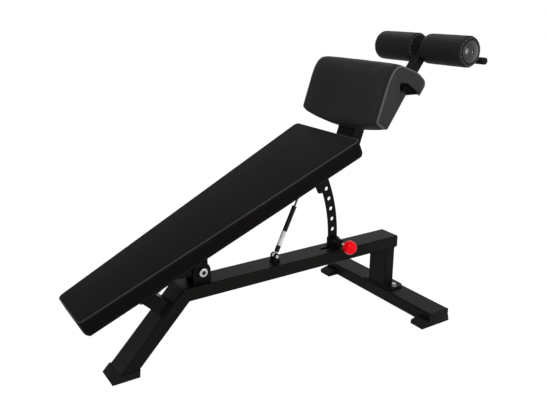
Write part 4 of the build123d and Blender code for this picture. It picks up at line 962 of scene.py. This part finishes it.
def weigh_corners(piece):
    """Mark a piece's outer corners for rounding; inner corners stay, to leave room for what runs there."""
    with editing(piece) as shape:
        weight = shape.edges.layers.float.new("bevel_weight_edge")
        for edge in shape.edges:
            if len(edge.link_faces) == 2 and edge.is_convex and edge.calc_face_angle() > CORNER_ANGLE:
                edge[weight] = 1.0


def rounded_copy(node, width, segments=2):
    """Copy of a CAD node with its sharp edges rounded, in place of the node."""
    shape = bmesh.new()
    shape.from_mesh(NODES[node].data)
    bmesh.ops.remove_doubles(shape, verts=shape.verts, dist=SAME_PLACE)
    bmesh.ops.dissolve_limit(shape, angle_limit=math.radians(0.6), verts=shape.verts, edges=shape.edges)
    shape.verts.index_update()
    verts = [vert.co.copy() for vert in shape.verts]
    faces = [[vert.index for vert in face.verts] for face in shape.faces]
    shape.free()
    piece = new_piece(node + "_rounded", verts, faces, [finish_of(node)])
    weigh_corners(piece)
    edge = piece.modifiers.new("Edge", "BEVEL")
    edge.limit_method = "WEIGHT"
    edge.width = width
    edge.segments = segments
    edge.use_clamp_overlap = True
    realise(piece)
    smooth(piece, 40)
    return place(piece, BODY_OF[node], SLOT_OF[node], node)


def make_steel_frame():
    """Finishes of every CAD node and rounded edges on plates and rubber shoes."""
    for node, shown in NODES.items():
        shown.data.materials.clear()
        shown.data.materials.append(finish_of(node))
    for node in ROUNDED_PLATES:
        rounded_copy(node, sizes().plate_edge)
    for node in ROUNDED_RUBBER:
        rounded_copy(node, sizes().boot_edge, 3)


def loop(centre, across, along, half_across, half_along, corner=0.004):
    """Closed path round a rounded rectangle."""
    across, along = Vector(across).normalized(), Vector(along).normalized()
    points = []
    for turn_start, sa, sb in ((0, 1, 1), (90, -1, 1), (180, -1, -1), (270, 1, -1)):
        for step in range(4):
            turn = math.radians(turn_start + 30 * step)
            a = sa * (half_across - corner) + corner * math.cos(turn)
            b = sb * (half_along - corner) + corner * math.sin(turn)
            points.append(Vector(centre) + across * a + along * b)
    return points, True


def foot_loop(node, height, corner):
    """Path round an upright node at a height."""
    low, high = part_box(node)
    centre = ((low.x + high.x) / 2, (low.y + high.y) / 2, height)
    return loop(centre, ACROSS_X, ACROSS_Y, (high.x - low.x) / 2, (high.y - low.y) / 2, corner)


def make_weld_beads():
    """Weld beads where tubes and plates meet, one piece for the base and one for the tilting frame."""
    bead = sizes().bead
    tree = row_tree("Bead row", BALL)
    beads = {"Pitch": bead * 1.25, "Length": bead * 2.4, "Width": bead * 2, "Height": bead * 2}
    base = [foot_loop(node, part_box(node)[0].z, 0.002) for node in (*WELDED_PLATES, "strut_foot_bracket")]
    base += [foot_loop("rear_post", corner.z, 0.006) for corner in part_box("rear_post")]
    place(row_along("base_weld_beads", base, tree, "Satin powder coat", **beads), "base", "frame_paint")
    rails = Vector((math.cos(TILT), 0, math.sin(TILT)))
    head = Vector((-math.sin(UPRIGHT_TURN), 0, math.cos(UPRIGHT_TURN)))
    back = Vector((math.cos(UPRIGHT_TURN), 0, math.sin(UPRIGHT_TURN)))
    tilting = [loop(on_upright(TUBE_DEPTH, 0, ARM_ROOT), ACROSS_Y, head, ARM_HALF, ARM_CUT_HALF, 0.005)]
    below = rails.cross(Vector(ACROSS_Y))
    for side in (-1, 1):
        mount = on_rails(MOUNT_PLACE, side * RAIL_SIDE, RAIL_RISE - MOUNT_HALF_HEIGHT)
        tilting.append(loop(mount, rails, below, MOUNT_HALF_LENGTH, MOUNT_HALF_HEIGHT, 0.002))
    for side in (-1, 1):
        tilting.append((ring_round(ROLLER_AXIS, side, ARM_HALF, ROLLER_BAR, 48), True))
    stem = on_upright(HANDLE_BEHIND, 0, HANDLE_HEIGHT)
    tilting.append(loop(stem - back * STEM_WELD, ACROSS_Y, head, STEM_HALF, STEM_HALF, 0.003))
    piece = row_along("tilt_frame_weld_beads", tilting, tree, "Satin powder coat", **beads)
    place(piece, "tilt_frame", "frame_paint")


# Small parts
KNOB_NECK, KNOB_SEAM, KNOB_STEPS = 0.010, 0.0004, 40
GRIP_START, GRIP_END, GRIP_SKIN, GRIP_BORE = 0.079, 0.207, 0.0136, 0.0108
RIB_PITCH, RIB_DEPTH = 0.006, 0.0009


def make_gas_strut():
    """Blank label and crimped end of the gas strut."""
    size = sizes()
    start, end = size.label_start, size.label_start + size.label_length
    inside, skin = 0.0088, 0.0092
    profile = [(start, inside), (start, skin), (start + 0.0006, skin + 0.0001),
               (end - 0.0006, skin + 0.0001), (end, skin), (end, inside)]
    label = lathe("strut_label", profile, STRUT_FOOT, STRUT_RUN, "Label paper", steps=48)
    place(label, "strut_cylinder", "strut_paint")
    profile = [(0.187, 0.0085), (0.188, 0.0094), (0.1915, 0.0094), (0.193, 0.0088), (0.1945, 0.0094),
               (0.1985, 0.0094), (0.1996, 0.0085), (0.1999, 0.0052), (0.198, 0.0052)]
    crimp = lathe("strut_crimp", profile, STRUT_FOOT, STRUT_RUN, "Strut lacquer", steps=48)
    place(crimp, "strut_cylinder", "strut_paint")


def make_pop_pin():
    """Ball knob with its parting line."""
    low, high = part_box("pin_knob")
    radius = (high.x - low.x) / 2
    centre = Vector(((low.x + high.x) / 2, low.y + radius, (low.z + high.z) / 2))
    neck = math.asin(KNOB_NECK / radius)
    profile = []
    for step in range(KNOB_STEPS + 1):
        turn = math.pi - (math.pi - neck) * step / KNOB_STEPS
        bulge = radius - (KNOB_SEAM if step == KNOB_STEPS // 2 else 0.0)
        profile.append((bulge * math.cos(turn), max(bulge * math.sin(turn), 0.0)))
    reach = radius * math.cos(neck)
    profile += [(reach + 0.0004, 0.0094), (reach + 0.0004, 0.0078), (0, 0.0076), (0, 0.0)]
    knob = lathe("knob_ball", profile, centre, (0, 1, 0), "Knob plastic", steps=64, sharp=50)
    place(knob, "pop_pin", "knob_plastic", "pin_knob")


def make_socket_shade_disc():
    """Dark disc low in the socket of the pivot bolt's head, as painted shade in the socket's hollow."""
    low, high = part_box("pivot_bolt")
    centre = Vector(((low.x + high.x) / 2, low.y, (low.z + high.z) / 2))
    profile = [(0.0035, 0.0), (0.0035, 0.0060), (0.0042, 0.0068), (0.0078, 0.0068), (0.0078, 0.0)]
    shade_disc = lathe("pivot_socket_plug", profile, centre, (0, 1, 0), "Black plastic", steps=24, sharp=50)
    place(shade_disc, "base", "black_plastic")


def make_handle_grips():
    """Ribbed rubber grips with rounded closed ends."""
    bar = on_upright(HANDLE_BEHIND, 0, HANDLE_HEIGHT)
    start, end, skin, valley = GRIP_START, GRIP_END, GRIP_SKIN, GRIP_SKIN - RIB_DEPTH
    for name, side in SIDES:
        profile = [(start, GRIP_BORE), (start, skin - 0.0012), (start + 0.0008, skin), (start + 0.004, skin)]
        along = start + RIB_PITCH
        while along < end - 0.012:
            profile += [(along, skin), (along + 0.0008, valley), (along + 0.0022, valley),
                        (along + 0.003, skin)]
            along += RIB_PITCH
        profile += [(end - 0.0035, skin), (end - 0.001, skin - 0.0012), (end, skin - 0.004), (end, 0.0),
                    (end - 0.003, 0.0), (end - 0.003, GRIP_BORE)]
        grip = lathe("handle_grip_" + name, profile, bar, (0, side, 0), "Moulded rubber", steps=40, sharp=48)
        place(grip, "tilt_frame", "grip_rubber", *(("handle_grips",) if side < 0 else ()))


# Studio
CAMERA_PLACE = Vector((PIVOT.x - 0.8978, -1.8865, 1.2187))
CAMERA_RIGHT = Vector((0.8415, -0.5402, 0.0))
CAMERA_UP = Vector((0.1651, 0.2572, 0.9521))
CAMERA_LENS = 42.4
WORLD_LIGHT = 0.35
FLOOR_GLOW, FLOOR_GLOW_SHARE = 1.12, 0.86
FLOOR_HALF, FLOOR_HEIGHT = 6.0, -0.0004
LAMPS = (
    ("key_lamp", (-0.9, -1.5, 3.0), (0, 0, 0.5), 1.4, 44.0),
    ("side_lamp", (0.8, -3.0, 1.1), (0.2, 0, 0.6), 1.2, 27.0),
    ("back_lamp", (1.4, 1.8, 3.1), (0, 0, 0.6), 1.8, 24.0),
)


def sight_mask(tree):
    """1 for rays that see the background as a picture, 0 for rays that only light."""
    path = tree.nodes.new("ShaderNodeLightPath")
    seen = maths(tree, "MAXIMUM", path.outputs["Is Camera Ray"], path.outputs["Is Glossy Ray"])
    return maths(tree, "MAXIMUM", seen, path.outputs["Is Transmission Ray"])


def mixed(tree, share, first, second, surface):
    """Mix two shaders by a share and give the result to a surface socket."""
    pick = tree.nodes.new("ShaderNodeMixShader")
    tree.links.new(share, pick.inputs["Fac"])
    tree.links.new(first.outputs[0], pick.inputs[1])
    tree.links.new(second.outputs[0], pick.inputs[2])
    tree.links.new(pick.outputs[0], surface)


def make_world():
    """Surround that is white to look at and lights softly."""
    world = bpy.data.worlds.new("Studio")
    bpy.context.scene.world = world
    world.use_nodes = True
    tree = world.node_tree
    tree.nodes.clear()
    out = tree.nodes.new("ShaderNodeOutputWorld")
    light, white = tree.nodes.new("ShaderNodeBackground"), tree.nodes.new("ShaderNodeBackground")
    for node, strength in ((light, WORLD_LIGHT), (white, 1.0)):
        node.inputs["Color"].default_value = (1, 1, 1, 1)
        node.inputs["Strength"].default_value = strength
    mixed(tree, sight_mask(tree), light, white, out.inputs["Surface"])


def make_floor():
    """White floor that keeps a faint shadow."""
    ground = bpy.data.materials.new("Studio floor")
    ground.use_nodes = True
    tree = ground.node_tree
    shader = tree.nodes["Principled BSDF"]
    shader.inputs["Base Color"].default_value = (0.85, 0.85, 0.85, 1)
    shader.inputs["Roughness"].default_value = 0.9
    glow = tree.nodes.new("ShaderNodeEmission")
    glow.inputs["Strength"].default_value = FLOOR_GLOW
    share = maths(tree, "MULTIPLY", sight_mask(tree), FLOOR_GLOW_SHARE)
    mixed(tree, share, shader, glow, tree.nodes["Material Output"].inputs["Surface"])
    corners = [(FLOOR_HALF * x, FLOOR_HALF * y, FLOOR_HEIGHT)
               for x, y in ((-1, -1), (1, -1), (1, 1), (-1, 1))]
    floor = new_piece("studio_floor", corners, [(0, 1, 2, 3)], [ground])


def make_lamps():
    """Soft round lamps."""
    for name, where, aim, size, power in LAMPS:
        lamp = bpy.data.lights.new(name, "AREA")
        lamp.shape = "DISK"
        lamp.size = size
        lamp.energy = power
        holder = add_object(name, lamp)
        holder.location = where
        holder.rotation_euler = (Vector(aim) - Vector(where)).to_track_quat("-Z", "Y").to_euler()


def make_camera():
    """Camera at the photograph's place."""
    lens = bpy.data.cameras.new("camera")
    lens.sensor_fit = "HORIZONTAL"
    lens.sensor_width = 36.0
    lens.lens = CAMERA_LENS
    camera = add_object("camera", lens)
    right, up = CAMERA_RIGHT.normalized(), CAMERA_UP.normalized()
    turn = Matrix((right, up, right.cross(up))).transposed().to_4x4()
    camera.matrix_world = Matrix.Translation(CAMERA_PLACE) @ turn
    bpy.context.scene.camera = camera


def make_stage():
    """White floor and surround, soft lamps and the camera."""
    bpy.context.scene.view_settings.view_transform = "Standard"
    make_world()
    make_floor()
    make_lamps()
    make_camera()


# Operators and panel
class BENCH_OT_steel_frame(bpy.types.Operator):
    """Coat the CAD nodes and round the edges of plates and rubber shoes"""

    bl_idname = "bench.steel_frame"
    bl_label = "Steel frame and shoes"

    def execute(self, context):
        make_steel_frame()
        return {"FINISHED"}


class BENCH_OT_weld_beads(bpy.types.Operator):
    """Lay weld beads where tubes and plates meet"""

    bl_idname = "bench.weld_beads"
    bl_label = "Weld beads"

    def execute(self, context):
        make_weld_beads()
        return {"FINISHED"}


class BENCH_OT_back_pad(bpy.types.Operator):
    """Upholster the back pad"""

    bl_idname = "bench.back_pad"
    bl_label = "Back pad"

    def execute(self, context):
        make_back_pad()
        return {"FINISHED"}


class BENCH_OT_knee_pad(bpy.types.Operator):
    """Upholster the knee pad"""

    bl_idname = "bench.knee_pad"
    bl_label = "Knee pad"

    def execute(self, context):
        make_knee_pad()
        return {"FINISHED"}


class BENCH_OT_rollers(bpy.types.Operator):
    """Cover and cap the ankle rollers"""

    bl_idname = "bench.rollers"
    bl_label = "Ankle rollers"

    def execute(self, context):
        make_rollers()
        return {"FINISHED"}


class BENCH_OT_gas_strut(bpy.types.Operator):
    """Finish the gas strut"""

    bl_idname = "bench.gas_strut"
    bl_label = "Gas strut"

    def execute(self, context):
        make_gas_strut()
        return {"FINISHED"}


class BENCH_OT_pop_pin(bpy.types.Operator):
    """Make the pop pin's ball knob"""

    bl_idname = "bench.pop_pin"
    bl_label = "Pop pin"

    def execute(self, context):
        make_pop_pin()
        return {"FINISHED"}


class BENCH_OT_socket_shade_disc(bpy.types.Operator):
    """Make the dark disc of painted shade in the pivot bolt's socket"""

    bl_idname = "bench.socket_plug"
    bl_label = "Socket plug"

    def execute(self, context):
        make_socket_shade_disc()
        return {"FINISHED"}


class BENCH_OT_handle_grips(bpy.types.Operator):
    """Make the handle's grips"""

    bl_idname = "bench.handle_grips"
    bl_label = "Handle grips"

    def execute(self, context):
        make_handle_grips()
        return {"FINISHED"}


class BENCH_OT_stage(bpy.types.Operator):
    """Set up floor, lamps and camera"""

    bl_idname = "bench.stage"
    bl_label = "Studio"

    def execute(self, context):
        make_stage()
        return {"FINISHED"}


STEPS = (BENCH_OT_steel_frame, BENCH_OT_weld_beads, BENCH_OT_back_pad, BENCH_OT_knee_pad, BENCH_OT_rollers,
         BENCH_OT_gas_strut, BENCH_OT_pop_pin, BENCH_OT_socket_shade_disc, BENCH_OT_handle_grips, BENCH_OT_stage)


class BENCH_PT_dressing(bpy.types.Panel):
    """Sizes, colours and steps of the bench's dressing"""

    bl_idname = "BENCH_PT_dressing"
    bl_label = "Decline bench"
    bl_space_type = "VIEW_3D"
    bl_region_type = "UI"
    bl_category = "Bench"

    def draw(self, context):
        for step in STEPS:
            self.layout.operator(step.bl_idname)
        for group in (context.scene.bench_sizes, context.scene.bench_colours):
            column = self.layout.column()
            for name in group.bl_rna.properties.keys():
                if name not in ("rna_type", "name"):
                    column.prop(group, name)


CLASSES = (BenchSizes, BenchColours, *STEPS, BENCH_PT_dressing)


def register():
    for item in CLASSES:
        bpy.utils.register_class(item)
    bpy.types.Scene.bench_sizes = PointerProperty(type=BenchSizes)
    bpy.types.Scene.bench_colours = PointerProperty(type=BenchColours)


def unregister():
    del bpy.types.Scene.bench_colours
    del bpy.types.Scene.bench_sizes
    for item in reversed(CLASSES):
        bpy.utils.unregister_class(item)


def main():
    register()
    bpy.ops.bench.steel_frame()
    bpy.ops.bench.weld_beads()
    bpy.ops.bench.back_pad()
    bpy.ops.bench.knee_pad()
    bpy.ops.bench.rollers()
    bpy.ops.bench.gas_strut()
    bpy.ops.bench.pop_pin()
    bpy.ops.bench.socket_plug()
    bpy.ops.bench.handle_grips()
    bpy.ops.bench.stage()


if __name__ == "__main__":
    main()
